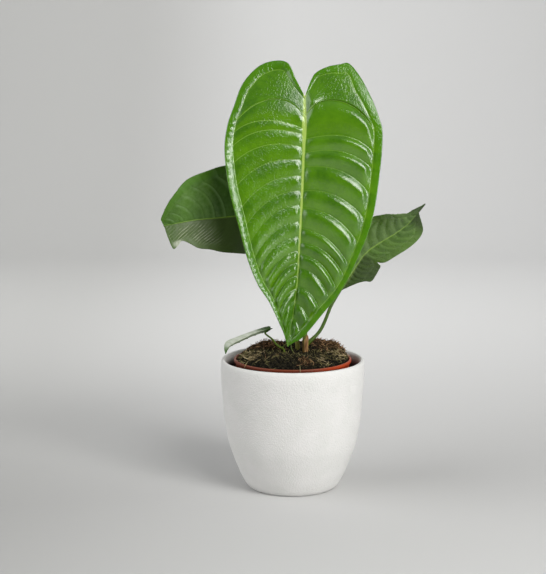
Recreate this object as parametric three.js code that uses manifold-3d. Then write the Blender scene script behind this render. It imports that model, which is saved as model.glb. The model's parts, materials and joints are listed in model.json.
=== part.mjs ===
// Potted king anthurium: three long-stalked leaves and a small young one, in mossy soil in a
// nursery pot that stands inside a white cover pot. Millimetres, +Z up, the front towards -Y,
// with the origin on the ground at the pots' common axis.
import * as THREE from "three";
import { mergeVertices } from "three/addons/utils/BufferGeometryUtils.js";
import Module from "manifold-3d";

const wasm = await Module();
wasm.setup();

const potHeight = 127;
const potRadius = 70;
const potFootRadius = 41.6;
const potWall = 4.7;
const potFloor = 8;
const potFloorRadius = 43.5;
const potThickBelow = 40;
const potThickening = 0.8;
const potSegments = 64;
const nurseryLipRadius = 57.2;
const nurseryLipTop = 127.5;
const nurseryLipBand = 3.4;
const nurseryWall = 1.2;
const nurseryFootRadius = 38;
const nurserySegments = 56;
const drainRadius = 4;
const drainCircle = 24;
const gap = 0.3;

const potPaint = { color: 0xe9e9e7, roughness: 0.62 };
const nurseryPlastic = { color: 0x9c4f34, roughness: 0.42 };
const peat = { color: 0x2f2419, roughness: 1 };
const leafGreen = { color: 0x4f7d22, roughness: 0.34 };
const darkLeafGreen = { color: 0x3c5f25, roughness: 0.36 };
const drySheath = { color: 0x7a5a38, roughness: 0.8 };

// A smooth curve through evenly spaced values, carried on by reflection at both ends.
function through(values, t) {
  const last = values.length - 1;
  const at = (k) => {
    if (k < 0) return 2 * values[0] - values[1];
    if (k > last) return 2 * values[last] - values[last - 1];
    return values[k];
  };
  const x = THREE.MathUtils.clamp(t, 0, 1) * last;
  const i = Math.min(Math.floor(x), last - 1);
  const f = x - i;
  const [a, b, c, d] = [at(i - 1), at(i), at(i + 1), at(i + 2)];
  return b + 0.5 * f * (c - a + f * (2 * a - 5 * b + 4 * c - d + f * (3 * b - a - 3 * c + d)));
}

const throughPoints = (points, t) =>
  new THREE.Vector3(...[0, 1, 2].map((k) => through(points.map((p) => p[k]), t)));

// Turns corner points and triangles into a closed solid, with shared corners merged.
function solidOf(geometry) {
  const bare = geometry.index ? geometry.toNonIndexed() : geometry.clone();
  for (const name of Object.keys(bare.attributes)) {
    if (name !== "position") bare.deleteAttribute(name);
  }
  const merged = mergeVertices(bare, 1e-3);
  const index = merged.index.array;
  const kept = [];
  for (let i = 0; i < index.length; i += 3) {
    const [a, b, c] = [index[i], index[i + 1], index[i + 2]];
    if (a !== b && b !== c && a !== c) kept.push(a, b, c);
  }
  const make = (triVerts) =>
    new wasm.Manifold(
      new wasm.Mesh({
        numProp: 3,
        vertProperties: merged.attributes.position.array,
        triVerts: new Uint32Array(triVerts),
      }),
    );
  const solid = make(kept);
  if (solid.volume() > 0) return solid;
  const turned = [];
  for (let i = 0; i < kept.length; i += 3) turned.push(kept[i], kept[i + 2], kept[i + 1]);
  return make(turned);
}

function geometryOf(solid) {
  const mesh = solid.getMesh();
  const geometry = new THREE.BufferGeometry();
  geometry.setAttribute("position", new THREE.BufferAttribute(mesh.vertProperties, 3));
  geometry.setIndex(new THREE.BufferAttribute(mesh.triVerts, 1));
  return geometry;
}

const plant = new THREE.Group();

function addNode(name, solid, look) {
  const material = new THREE.MeshStandardMaterial({ metalness: 0, ...look });
  const mesh = new THREE.Mesh(geometryOf(solid), material);
  mesh.name = name;
  plant.add(mesh);
}

// Turned pieces: a closed profile of radius and height, spun about the pots' axis.
function turned(profile, segments) {
  const points = profile.map(([r, z]) => new THREE.Vector2(r, z));
  points.push(points[0].clone());
  return solidOf(new THREE.LatheGeometry(points, segments).rotateX(Math.PI / 2));
}

// The cover pot's outer wall swells from a small foot to its greatest radius near the rim.
const coverOutside = [
  [potFootRadius, 0],
  [45.7, 3.6],
  [51.3, 14],
  [55.4, 24],
  [59.2, 34],
  [62.7, 45],
  [65.2, 59],
  [67, 73],
  [68.4, 90],
  [69.4, 105],
  [potRadius, 117],
];

function coverPot() {
  const rim = [
    [potRadius - 0.2, potHeight - 4],
    [potRadius - 1, potHeight - 1.5],
    [potRadius - 2.4, potHeight],
    [potRadius - 3.8, potHeight - 0.9],
    [potRadius - potWall, potHeight - 3.2],
  ];
  const inside = coverOutside
    .filter(([, z]) => z > 2 * potFloor)
    .reverse()
    .map(([r, z]) => [r - potWall - (z < potThickBelow ? potThickening : 0), z]);
  const floorCorner = [
    [potFloorRadius, potFloor + 2.4],
    [potFloorRadius - 2.5, potFloor],
  ];
  const profile = [[0, 0], ...coverOutside, ...rim, ...inside, ...floorCorner, [0, potFloor]];
  return turned(profile, potSegments);
}

// The nursery pot's wall at a height, from its foot up to its lip.
const nurseryFoot = potFloor + gap;
const nurseryWallTop = nurseryLipTop - nurseryLipBand;
function nurseryRadius(z) {
  const share = (z - nurseryFoot) / (nurseryWallTop - nurseryFoot);
  return THREE.MathUtils.lerp(nurseryFootRadius, nurseryLipRadius - 1.4, share);
}

function nurseryPot() {
  const lip = nurseryLipRadius;
  const innerFloor = nurseryFoot + 1.5;
  const shell = turned(
    [
      [0, nurseryFoot],
      [nurseryFootRadius - 1.5, nurseryFoot],
      [nurseryFootRadius, nurseryFoot + 1.5],
      [nurseryRadius(66), 66],
      [nurseryRadius(nurseryWallTop), nurseryWallTop],
      [lip - 0.2, nurseryWallTop + 0.2],
      [lip, nurseryWallTop + 0.8],
      [lip, nurseryLipTop - 0.6],
      [lip - 0.6, nurseryLipTop],
      [lip - 1.6, nurseryLipTop],
      [lip - 2.2, nurseryLipTop - 0.6],
      [nurseryRadius(nurseryWallTop - 2) - nurseryWall, nurseryWallTop - 2],
      [nurseryRadius(66) - nurseryWall, 66],
      [nurseryRadius(innerFloor) - nurseryWall, innerFloor],
      [0, innerFloor],
    ],
    nurserySegments,
  );
  const drains = [45, 135, 225, 315].map((degrees) => {
    const drill = new THREE.CylinderGeometry(drainRadius, drainRadius, 6, 12).rotateX(Math.PI / 2);
    const angle = THREE.MathUtils.degToRad(degrees);
    drill.translate(drainCircle * Math.cos(angle), drainCircle * Math.sin(angle), nurseryFoot);
    return solidOf(drill);
  });
  return drains.reduce((body, drill) => body.subtract(drill), shell);
}

// Lumps of moss and coir on the soil: centre, height and reach.
const soilLumps = [
  { x: -25, y: 20, height: 3.2, reach: 7 },
  { x: -41, y: 26, height: 2.2, reach: 11 },
  { x: 23, y: 21, height: 4.8, reach: 8 },
  { x: 42, y: 20, height: 6.6, reach: 11 },
  { x: 51, y: 8, height: 3.4, reach: 7 },
  { x: 10, y: -34, height: 2.2, reach: 7 },
  { x: -30, y: -16, height: 1.8, reach: 11 },
  { x: 38, y: -14, height: 2, reach: 9 },
  { x: -8, y: -26, height: 1.4, reach: 8 },
  { x: 1, y: -11, height: -1.6, reach: 6 },
];
const soilEdgeHeight = 125.2;
const soilDome = 8.4;
const soilBackRise = 4;
const soilRipple = 0.75;
const soilHoleBottom = 118;
const soilEdgeRadius = nurseryLipRadius - 2.2 - 2 * gap;

function soilHeight(x, y) {
  const r = Math.hypot(x, y) / soilEdgeRadius;
  let z = soilEdgeHeight + soilDome * (1 - r ** 5);
  z += soilBackRise * THREE.MathUtils.smoothstep(y, -8, 20) * (1 - r ** 4);
  for (const lump of soilLumps) {
    z += lump.height * Math.exp(-((x - lump.x) ** 2 + (y - lump.y) ** 2) / lump.reach ** 2);
  }
  const ripple = Math.sin(0.52 * x + 1.3) * Math.sin(0.47 * y + 0.4) + 0.6 * Math.sin(0.91 * x - 0.83 * y);
  return z + soilRipple * ripple * (1 - r ** 4);
}

// A round stalk along a route, of the thickness that radiusAt gives for a share of its length.
function sweep(points, radiusAt, sides, steps) {
  const path = new THREE.CatmullRomCurve3(points, false, "catmullrom", 0.5);
  const ring = new THREE.Shape();
  for (let k = 0; k < sides; k++) {
    const angle = (2 * Math.PI * k) / sides;
    const spot = [Math.cos(angle), Math.sin(angle)];
    if (k === 0) ring.moveTo(...spot);
    else ring.lineTo(...spot);
  }
  ring.closePath();
  const tube = new THREE.ExtrudeGeometry(ring, { steps, extrudePath: path, bevelEnabled: false });
  const frames = [...Array(steps + 1).keys()].map((k) => path.getPointAt(k / steps));
  const spots = tube.attributes.position;
  const spot = new THREE.Vector3();
  for (let i = 0; i < spots.count; i++) {
    spot.fromBufferAttribute(spots, i);
    let nearest = 0;
    frames.forEach((centre, k) => {
      if (centre.distanceToSquared(spot) < frames[nearest].distanceToSquared(spot)) nearest = k;
    });
    spot.sub(frames[nearest]).setLength(radiusAt(nearest / steps)).add(frames[nearest]);
    spots.setXYZ(i, ...spot);
  }
  return solidOf(tube);
}

// A half blade is drawn flat, in spots of [out from the midrib, along it from the stalk's joint]. Its
// margin runs from the notch round the lobe to the tip, and its rim is the strip between the margin and
// the edge vein. A fan of veins leaves the joint and fills the lobe, up to the margin spot fanEnd. Past
// it each rib has its start on the midrib and the numbered margin spot that it runs to.
const edgeVeinShare = 0.86;
const closestRows = 1.2;
const ribLeave = [-24, -31, -34, -37, -38];
const ribArrive = [38, 27, 22, 19, 8];

const frontLeaf = {
  spine: [
    [11.5, 8, 412], [11, -2, 385], [10.7, -9, 357], [9.5, -12, 318], [8, -13.5, 280],
    [6, -14, 240], [4, -14, 205], [0, -14, 172], [-5, -16, 142],
  ],
  facing: [[0, -1, 0], [0, -1, 0], [0, -1, 0]],
  lobe: 55,
  length: 217,
  halfWidth: 77,
  wing: [[10, 12, 14, 20, 28], [8, 12, 14, 18, 24]],
  curl: [[-18, -14, -10, -6, -6], [-16, -12, -12, -10, -10]],
  quilt: 1.7,
  ribDepth: 1.9,
  thickness: 0.9,
  rowSpacing: 7,
  columns: [0, 0.045, 0.2, 0.42, 0.64, 0.78, edgeVeinShare, 0.93, 1],
  halves: [
    {
      margin: [
        [0, -21.5], [9, -38.5], [14.5, -50.5], [22, -55.5], [34, -55], [46.5, -48.5], [59.5, -32.5],
        [67, -12.5], [73, 8], [75, 31.5], [70, 67], [60, 101.5], [50, 133], [39, 158], [25, 176],
        [12.5, 195.5], [6, 205.5], [0, 217],
      ],
      rim: [3, 7.4, 10.5, 8, 8, 8, 6.5, 3.8, 0.5],
      lobeMiddle: [38, -15],
      fans: 10,
      fanEnd: 7.8,
      fanLeave: -70,
      fanTurn: 60,
      ribs: [
        [9.5, 8.3], [14.5, 8.9], [26.5, 9.4], [38.5, 10], [53, 10.6], [67, 11.1], [80, 11.6], [96, 12.1],
        [110.5, 12.5], [124, 13.1], [135.5, 13.6], [148, 14.1], [160.5, 14.6], [172, 15.2], [190, 16.2],
        [217, 17],
      ],
    },
    {
      margin: [
        [0, -21.5], [6.5, -39], [11.5, -45.5], [21.5, -50.5], [32.5, -53], [41.5, -54], [51, -43],
        [59, -28.5], [70, -3], [74, 11.5], [73, 46], [67.5, 93], [54, 134], [43.5, 156.5], [29.5, 179],
        [13.5, 205], [5, 212.5], [0, 217],
      ],
      rim: [3, 5.5, 9.5, 11, 8.5, 7.5, 5, 6.5, 0.5],
      lobeMiddle: [38, -18],
      fans: 12,
      fanEnd: 9,
      fanLeave: -70,
      fanTurn: 60,
      ribs: [
        [19, 9.6], [32, 10], [45, 10.5], [67.5, 11], [84, 11.5], [103, 12.1], [116, 12.5], [127, 13.1],
        [140.5, 13.5], [158.5, 14], [175, 14.5], [190, 15], [205, 16.2], [217, 17],
      ],
    },
  ],
  petiole: {
    route: [[12.6, -7, soilHoleBottom], [12.2, -6.5, 135.1], [12, -6, 151.8], [12.4, 2, 183.8],
      [13.4, 10, 231.7], [14.3, 14, 280], [13.6, 9.5, 319.1], [12.4, 4, 346]],
    radius: 2.3,
    topRadius: 1.9,
    steps: 26,
  },
};

const leftLeaf = {
  spine: [
    [-1.8, 44, 265.1], [-21.6, 38, 263.7], [-39.2, 32, 263.2], [-56.1, 25, 263.2], [-75.1, 18, 262.2],
    [-93.2, 12, 261.3], [-108.5, 7, 259.2], [-124.2, 3, 256.7],
  ],
  facing: [[-0.1, -1, 0.25], [-0.2, -1, 0.15], [-0.3, -1, 0.1], [-0.5, -1, 0]],
  lobe: 37,
  length: 101,
  halfWidth: 44,
  wing: [[16, 16, 18, 22, 26], [-6, -4, 2, 6, 10]],
  curl: [[-14, -14, -12, -8, -8], [-20, -20, -16, -10, -10]],
  quilt: 1.2,
  ribDepth: 1.3,
  thickness: 0.8,
  rowSpacing: 7,
  columns: [0, 0.07, 0.3, 0.6, edgeVeinShare, 1],
  halves: [
    {
      margin: [
        [0, -10], [9, -25], [22, -37], [38, -32], [48, -12], [51, 14], [49.5, 44], [42.5, 70.5],
        [25, 91.5], [9.5, 102.5], [4.5, 102.8], [0, 101],
      ],
      rim: [2, 6.5, 7.5, 8.5, 10, 9.5, 6, 2.5, 0.3],
      lobeMiddle: [25, -12],
      fans: 7,
      fanEnd: 5.1,
      fanLeave: -58,
      fanTurn: 44,
      ribs: [
        [20.5, 6], [34, 6.7], [46, 7.1], [57.5, 7.5], [68.5, 8], [79, 8.5], [89, 8.9], [95.5, 10], [101, 11],
      ],
    },
    {
      margin: [
        [0, -10], [8, -24], [18, -33], [29.5, -27], [37, -8], [37.5, 13], [34, 40], [30, 54], [27, 70.5],
        [18, 84.5], [21.5, 91], [23.5, 96.5], [12, 99.5], [0, 101],
      ],
      rim: [2, 5.5, 6, 6.5, 8.5, 9, 6.5, 8, 4, 0.3],
      lobeMiddle: [18, -12],
      fans: 7,
      fanEnd: 5.1,
      fanLeave: -58,
      fanTurn: 44,
      ribs: [
        [20.5, 6.2], [34, 7.2], [46, 8.1], [57.5, 8.7], [68.5, 9.2], [79, 10.6], [86.5, 11.4],
        [93.5, 12.1], [98, 12.6], [101, 13],
      ],
    },
  ],
  petiole: {
    route: [[5, 5, soilHoleBottom], [4.3, 4, 144.9], [0, 13, 162.1], [-9.7, 25, 194.9],
      [-21.6, 33, 228.6], [-32, 37.5, 251]],
    radius: 2.2,
    topRadius: 1.6,
    steps: 22,
  },
};

const rightLeaf = {
  spine: [
    [41.3, 44, 178.8], [50.1, 41, 191.4], [57.8, 38, 202.9], [65, 35, 215.2], [74, 31, 228],
    [87.5, 25.5, 238.6], [101.2, 20, 247.9], [111.8, 14.5, 257.3], [119.8, 9, 267.6], [127.3, 3, 277.9],
  ],
  facing: [[0.1, -1, 0.25], [0.2, -1, 0.2], [0.3, -1, 0.1], [0.4, -1, 0]],
  lobe: 16,
  length: 123.5,
  halfWidth: 30,
  wing: [[4, 6, 8, 16, 24], [16, 16, 16, 20, 24]],
  curl: [[-10, -10, -12, -8, -8], [-14, -14, -12, -8, -8]],
  quilt: 1.1,
  ribDepth: 1.3,
  thickness: 0.8,
  rowSpacing: 7,
  columns: [0, 0.08, 0.3, 0.6, edgeVeinShare, 1],
  halves: [
    {
      margin: [
        [0, -7], [8.6, 9], [14.6, 15.8], [20.5, 18.8], [21.4, 24.5], [20.8, 33.6], [19.6, 40.5],
        [14.5, 42.6], [17.4, 47.4], [19.6, 55.5], [19.4, 73], [18.6, 90], [15.6, 99.3], [8.1, 106],
        [3.8, 109.4], [0.8, 112.2], [0.3, 117], [0, 123.5],
      ],
      rim: [2, 4.5, 7.5, 6.5, 6, 9, 7.5, 6, 3, 0.3],
      lobeMiddle: [0, 0],
      fans: 1,
      fanEnd: 0,
      fanLeave: -70,
      fanTurn: 60,
      ribs: [
        [5.5, 0.7], [11, 1.3], [16.5, 2.8], [21, 4], [25, 5], [30, 6.1], [36, 6.9], [43.5, 9.2], [52, 9.9],
        [61, 10.5], [70, 11], [78, 11.8], [86, 12.7], [94, 13.4], [101, 14.2], [109, 15.3], [123.5, 17],
      ],
    },
    {
      margin: [
        [0, -7], [8, -14], [17, -16], [25, -7], [29, 7], [28.5, 25], [28, 45], [27.7, 62], [27.5, 77],
        [26.4, 89], [23.6, 97.6], [19.5, 102.6], [14.3, 105.8], [10.9, 107.3], [7.1, 114.8], [0, 123.5],
      ],
      rim: [2, 5, 6.5, 8.5, 9.5, 7, 8, 7.5, 4, 0.3],
      lobeMiddle: [14, 0],
      fans: 7,
      fanEnd: 5.4,
      fanLeave: -30,
      fanTurn: 30,
      ribs: [
        [17.5, 6.2], [26.5, 6.8], [38, 7.2], [49.5, 7.7], [60.5, 8.3], [71, 9.2], [82, 10.2], [91.5, 11],
        [100.5, 11.8], [108, 12.6], [116, 13.8], [123.5, 15],
      ],
    },
  ],
  petiole: {
    route: [[8.6, 9.6, soilHoleBottom], [9.6, 9.5, 127.5], [12.2, 9.4, 135.5], [17.7, 10.2, 142.2],
      [24.1, 14, 147.9], [28.8, 18, 153.7], [33, 24, 161.6], [38.1, 31, 172.9], [44.4, 38.5, 182.5]],
    radius: 1.9,
    topRadius: 1.5,
    steps: 18,
  },
};

const smallVeins = {
  rim: [0.8, 1.2, 1.4, 1.8, 1.6, 0.2],
  fans: 5,
  fanEnd: 3.3,
  fanLeave: -50,
  fanTurn: 40,
  ribs: [[5, 4.2], [13, 5.1], [22, 6], [31, 7], [39, 8], [45, 9], [50.4, 10]],
};

const smallLeaf = {
  spine: [
    [-22.7, -2.5, 154.8], [-31.2, -7.5, 153.6], [-40.8, -12.5, 151], [-50.8, -18, 147.2],
    [-58.9, -22, 144.1], [-62.4, -24.5, 141.3], [-64.6, -27, 136.9],
  ],
  facing: [[-0.3, -0.2, 1], [-0.3, -0.18, 1], [-0.5, -0.15, 1]],
  lobe: 3,
  length: 50.4,
  halfWidth: 8.2,
  wing: [[22, 22, 22, 26], [38, 36, 32, 26]],
  curl: [[-10, -10, -8, -6], [-10, -10, -8, -6]],
  quilt: 0.35,
  ribDepth: 0.7,
  thickness: 0.7,
  rowSpacing: 20,
  columns: [0, 0.16, 0.56, edgeVeinShare, 1],
  halves: [
    {
      ...smallVeins,
      margin: [
        [0, -1.6], [3.6, -6.4], [7, -7.8], [8, -3], [7, 6], [6.6, 14.5], [8, 24.8], [9.3, 36],
        [8.8, 40.2], [4.8, 44.5], [0, 50.4],
      ],
      lobeMiddle: [4, 0],
    },
    {
      ...smallVeins,
      margin: [
        [0, -1.6], [2.5, -4], [5, -4.5], [7, -1], [7.6, 6], [7.6, 14.5], [7.4, 24.8], [7, 34],
        [5.5, 40], [3, 45], [0, 50.4],
      ],
      lobeMiddle: [3.5, 1],
    },
  ],
  petiole: {
    route: [[-7, -9, soilHoleBottom], [-8.4, -8.5, 136.5], [-12.1, -8, 139.6], [-16, -8, 142.7],
      [-19.6, -7.4, 147.2]],
    radius: 1.1,
    topRadius: 0.8,
    steps: 16,
  },
};

// Lays out a half blade's rows, which are its fan of veins and then its ribs. The result gives the row
// that starts at a length along the midrib, a row's strength, and the flat spot at a row and a share
// of the way from the midrib to the margin.
function drawnHalf(half) {
  const { margin, rim, fans, fanEnd, fanLeave, fanTurn } = half;
  const lobeMiddle = new THREE.Vector2(...half.lobeMiddle);
  const fanLast = Math.max(fans - 1, 1);
  const fan = [...Array(fans).keys()].map((k) => [0, (fanEnd * k) / fanLast]);
  const rows = [...fan, ...half.ribs];
  const last = rows.length - 1;
  const [starts, marginSpots] = [0, 1].map((k) => rows.map((row) => row[k]));
  const [outs, alongs] = [0, 1].map((k) => margin.map((spot) => spot[k]));
  const between = (values, row) => {
    const low = Math.min(Math.floor(row), last - 1);
    return THREE.MathUtils.lerp(values[low], values[low + 1], row - low);
  };
  const ends = (row) => {
    const midrib = new THREE.Vector2(0, between(starts, row));
    const along = through(marginSpots, row / last) / (margin.length - 1);
    const edge = new THREE.Vector2(Math.max(0, through(outs, along)), through(alongs, along));
    const s = row / fanLast;
    const inLobe =
      fans > 1 ? THREE.MathUtils.smoothstep(s, 0, 0.15) * (1 - THREE.MathUtils.smoothstep(s, 0.6, 1)) : 0;
    const inward = midrib.clone().lerp(lobeMiddle, inLobe).sub(edge);
    const vein = inward.setLength(through(rim, along)).add(edge);
    vein.x = Math.max(0, vein.x);
    return { midrib, edge, vein };
  };
  const angles = rows.map((_, k) => {
    const { midrib, vein } = ends(k);
    const chord = THREE.MathUtils.radToDeg(vein.clone().sub(midrib).angle());
    const straight = chord > 180 ? chord - 360 : chord;
    const s = k < fans ? k / fanLast : (k - fans) / (last - fans);
    if (k < fans) {
      const leave = fanLeave - (90 + fanLeave) * (1 - s) ** 3;
      const arrive = straight + fanTurn * THREE.MathUtils.smoothstep(s, 0.2, 1.2);
      return { leave, arrive, fullness: 0.33 + 0.15 * s, strength: THREE.MathUtils.clamp(4 * s - 3, 0, 1) };
    }
    const leave = straight + through(ribLeave, s);
    const arrive = straight + through(ribArrive, s);
    return { leave, arrive, fullness: 0.38, strength: THREE.MathUtils.clamp(4 - 4 * s, 0, 1) };
  });
  angles[last] = { ...angles[last - 1], strength: 0 };
  const [leaves, arrives, fullnesses, strengths] = ["leave", "arrive", "fullness", "strength"].map((key) =>
    angles.map((angle) => angle[key]),
  );
  const spot = (row, share) => {
    const { midrib, edge, vein } = ends(row);
    const leave = THREE.MathUtils.degToRad(between(leaves, row));
    const arrive = THREE.MathUtils.degToRad(between(arrives, row));
    const reach = vein.distanceTo(midrib) * between(fullnesses, row);
    const towards = (angle) => new THREE.Vector2(reach * Math.cos(angle), reach * Math.sin(angle));
    const first = midrib.clone().add(towards(leave));
    const second = vein.clone().sub(towards(arrive));
    const arch = new THREE.CubicBezierCurve(midrib, first, second, vein);
    const outer = Math.max(share - edgeVeinShare, 0) / (1 - edgeVeinShare);
    const flat = arch.getPoint(Math.min(share / edgeVeinShare, 1)).add(edge.sub(vein).multiplyScalar(outer));
    return { out: Math.max(0, flat.x), along: flat.y };
  };
  const rowAt = (start) => {
    const past = starts.findIndex((s) => s > start);
    const k = past < 0 ? last : past;
    return k - 1 + (start - starts[k - 1]) / (starts[k] - starts[k - 1]);
  };
  return { starts, fanRows: fans - 1, strength: (row) => between(strengths, row), spot, rowAt };
}

// The spine is measured once for each leaf, so that a length along it gives a place and a direction.
function measuredSpine(leaf) {
  const count = 160;
  const places = [...Array(count + 1).keys()].map((k) => throughPoints(leaf.spine, k / count));
  const lengths = [0];
  places.forEach((p, k) => k && lengths.push(lengths[k - 1] + p.distanceTo(places[k - 1])));
  const total = lengths[count];
  return (along) => {
    const wanted = ((along + leaf.lobe) / (leaf.lobe + leaf.length)) * total;
    const held = THREE.MathUtils.clamp(wanted, 0, total);
    let k = lengths.findIndex((l) => l > held);
    if (k < 1) k = k === 0 ? 1 : count;
    const share = (held - lengths[k - 1]) / (lengths[k] - lengths[k - 1]);
    const direction = places[Math.min(k + 1, count)].clone().sub(places[Math.max(k - 2, 0)]).normalize();
    const place = places[k - 1].clone().lerp(places[k], share).addScaledVector(direction, wanted - held);
    const facing = throughPoints(leaf.facing, held / total);
    facing.addScaledVector(direction, -facing.dot(direction)).normalize();
    return { place, facing, side: direction.clone().cross(facing), share: held / total };
  };
}

// Bends a flat spot into space: each half rises from the midrib's gutter and curls out from it.
function bentSpot(leaf, spineAt, sideNumber, { out, along }) {
  const { place, facing, side, share } = spineAt(along);
  const wing = THREE.MathUtils.degToRad(through(leaf.wing[sideNumber], share));
  const curl = THREE.MathUtils.degToRad(through(leaf.curl[sideNumber], share));
  const turn = wing + (curl * out) / leaf.halfWidth;
  const across = (leaf.halfWidth * (Math.sin(turn) - Math.sin(wing))) / curl;
  const lift = (leaf.halfWidth * (Math.cos(wing) - Math.cos(turn))) / curl;
  return place.addScaledVector(side, sideNumber ? -across : across).addScaledVector(facing, lift);
}

// How far the blade stands out between its veins, and how far the veins are pressed in.
function quilting(leaf, drawn, row, share) {
  const strength = drawn.strength(row);
  const puff = 1.6 * Math.sqrt(Math.abs(Math.sin(Math.PI * row))) - 0.7;
  const pastMidrib = THREE.MathUtils.smoothstep(share, 0, 0.16);
  const beforeRim = 1 - THREE.MathUtils.smoothstep(share, 0.72, 0.87);
  const edgeVein = Math.exp(-(((share - edgeVeinShare) / 0.035) ** 2));
  const rim = Math.max(0, share - edgeVeinShare) / (1 - edgeVeinShare);
  const between = strength * puff * pastMidrib * beforeRim;
  return leaf.quilt * (between - 0.35 * edgeVein * strength + 0.7 * rim ** 2);
}

// Both halves have the same stations on the midrib, so that the blade is one sheet.
function midribStations(leaf, halves) {
  const marks = [...new Set(halves.flatMap((drawn) => drawn.starts))]
    .sort((a, b) => a - b)
    .filter((s, k, all) => !k || s - all[k - 1] > closestRows || s === leaf.length);
  const stations = [];
  marks.forEach((s, k) => {
    if (k && s - marks[k - 1] > leaf.rowSpacing) stations.push((s + marks[k - 1]) / 2);
    if (s > 0) stations.push(s);
  });
  return stations;
}

function blade(leaf) {
  const spineAt = measuredSpine(leaf);
  const halves = leaf.halves.map(drawnHalf);
  const stations = midribStations(leaf, halves);
  const spots = [];
  const backDepth = [];
  const known = new Map();
  const corner = (side, row, share) => {
    const flat = halves[side].spot(row, share);
    const { facing } = spineAt(flat.along);
    const spot = bentSpot(leaf, spineAt, side, flat);
    spot.addScaledVector(facing, quilting(leaf, halves[side], row, share));
    const key = [spot.x, spot.y, spot.z].map((c) => Math.round(c * 50)).join();
    if (!known.has(key)) {
      known.set(key, spots.length);
      spots.push(spot);
      const taper = 1 - 0.75 * THREE.MathUtils.clamp(flat.along / leaf.length, 0, 1);
      const atJoint = THREE.MathUtils.smoothstep(flat.along, -9, -1);
      backDepth.push(leaf.ribDepth * taper * atJoint * Math.exp(-((flat.out / 1.2) ** 2)));
    }
    return known.get(key);
  };
  const faces = [];
  halves.forEach((drawn, side) => {
    const order = [];
    for (let k = 0; k <= drawn.fanRows; k++) {
      order.push(k);
      if (k >= 3 && k < drawn.fanRows) order.push(k + 0.5);
    }
    stations.forEach((s) => order.push(drawn.rowAt(s)));
    const grid = order.map((row) => leaf.columns.map((share) => corner(side, row, share)));
    for (let i = 1; i < grid.length; i++) {
      for (let j = 1; j < leaf.columns.length; j++) {
        const [a, b, c, d] = [grid[i - 1][j - 1], grid[i - 1][j], grid[i][j], grid[i][j - 1]];
        const pair = [[a, b, c], [a, c, d]].filter(([p, q, r]) => p !== q && q !== r && p !== r);
        faces.push(...pair.map(([p, q, r]) => (side ? [p, r, q] : [p, q, r])));
      }
    }
  });
  return thickened(spots, backDepth, faces, leaf.thickness);
}

// Gives a sheet its thickness: both faces are split into the same triangles, and a rim joins them.
function thickened(spots, backDepth, faces, thickness) {
  const normals = spots.map(() => new THREE.Vector3());
  const edges = new Map();
  for (const [a, b, c] of faces) {
    const ab = spots[b].clone().sub(spots[a]);
    const ac = spots[c].clone().sub(spots[a]);
    const normal = ab.cross(ac);
    [a, b, c].forEach((k) => normals[k].add(normal));
    for (const [p, q] of [[a, b], [b, c], [c, a]]) {
      if (edges.has(q + "," + p)) edges.delete(q + "," + p);
      else edges.set(p + "," + q, [p, q]);
    }
  }
  normals.forEach((n) => n.normalize());
  const front = (k) => spots[k].clone().addScaledVector(normals[k], thickness / 2);
  const back = (k) => spots[k].clone().addScaledVector(normals[k], -thickness / 2 - backDepth[k]);
  const corners = [];
  for (const [a, b, c] of faces) corners.push(front(a), front(b), front(c), back(a), back(c), back(b));
  for (const [p, q] of edges.values()) corners.push(front(q), front(p), back(p), front(q), back(p), back(q));
  return solidOf(new THREE.BufferGeometry().setFromPoints(corners));
}

// The stalk thins upwards and swells again where it bends into the back of the blade.
function petiole(leaf, clearance = 0) {
  const { route, radius, topRadius, steps } = leaf.petiole;
  const joint = measuredSpine(leaf)(1.5 * topRadius);
  const sunk = joint.place.clone().addScaledVector(joint.facing, -0.2);
  const bend = joint.place.clone().addScaledVector(joint.facing, -3.2 * topRadius);
  const points = [...route.map((p) => new THREE.Vector3(...p)), bend, sunk];
  const radiusAt = (t) => {
    const plain = THREE.MathUtils.lerp(radius, topRadius, t);
    const swelling = 0.3 * topRadius * Math.exp(-(((t - 0.93) / 0.06) ** 2));
    return plain + swelling + clearance;
  };
  return sweep(points, radiusAt, 8, steps);
}

const leaves = { leaf_front: frontLeaf, leaf_left: leftLeaf, leaf_right: rightLeaf, leaf_small: smallLeaf };

function soil() {
  const rings = [0, 0.1, 0.2, 0.31, 0.42, 0.53, 0.64, 0.75, 0.85, 0.93, 1];
  const segments = 36;
  const foot = nurseryFoot + 1.5 + gap;
  const wallRadius = (z) => nurseryRadius(z) - nurseryWall - gap;
  const loops = rings.map((share) => [...Array(segments).keys()].map((k) => {
    const angle = (2 * Math.PI * k) / segments;
    const x = share * soilEdgeRadius * Math.cos(angle);
    const y = share * soilEdgeRadius * Math.sin(angle);
    return new THREE.Vector3(x, y, soilHeight(x, y));
  }));
  const wallLoop = (r, z) => loops[rings.length - 1].map(({ x, y }) => {
    const scale = r / Math.hypot(x, y);
    return new THREE.Vector3(x * scale, y * scale, z);
  });
  loops.push(wallLoop(wallRadius(nurseryWallTop - 3), nurseryWallTop - 3));
  loops.push(wallLoop(wallRadius(66), 66), wallLoop(wallRadius(foot), foot), wallLoop(0, foot));
  const corners = [];
  for (let i = 1; i < loops.length; i++) {
    for (let k = 0; k < segments; k++) {
      const n = (k + 1) % segments;
      const [a, b, c, d] = [loops[i - 1][k], loops[i][k], loops[i][n], loops[i - 1][n]];
      corners.push(a, b, c, a, c, d);
    }
  }
  const body = solidOf(new THREE.BufferGeometry().setFromPoints(corners));
  return Object.values(leaves).reduce((rest, leaf) => rest.subtract(petiole(leaf, gap)), body);
}

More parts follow.
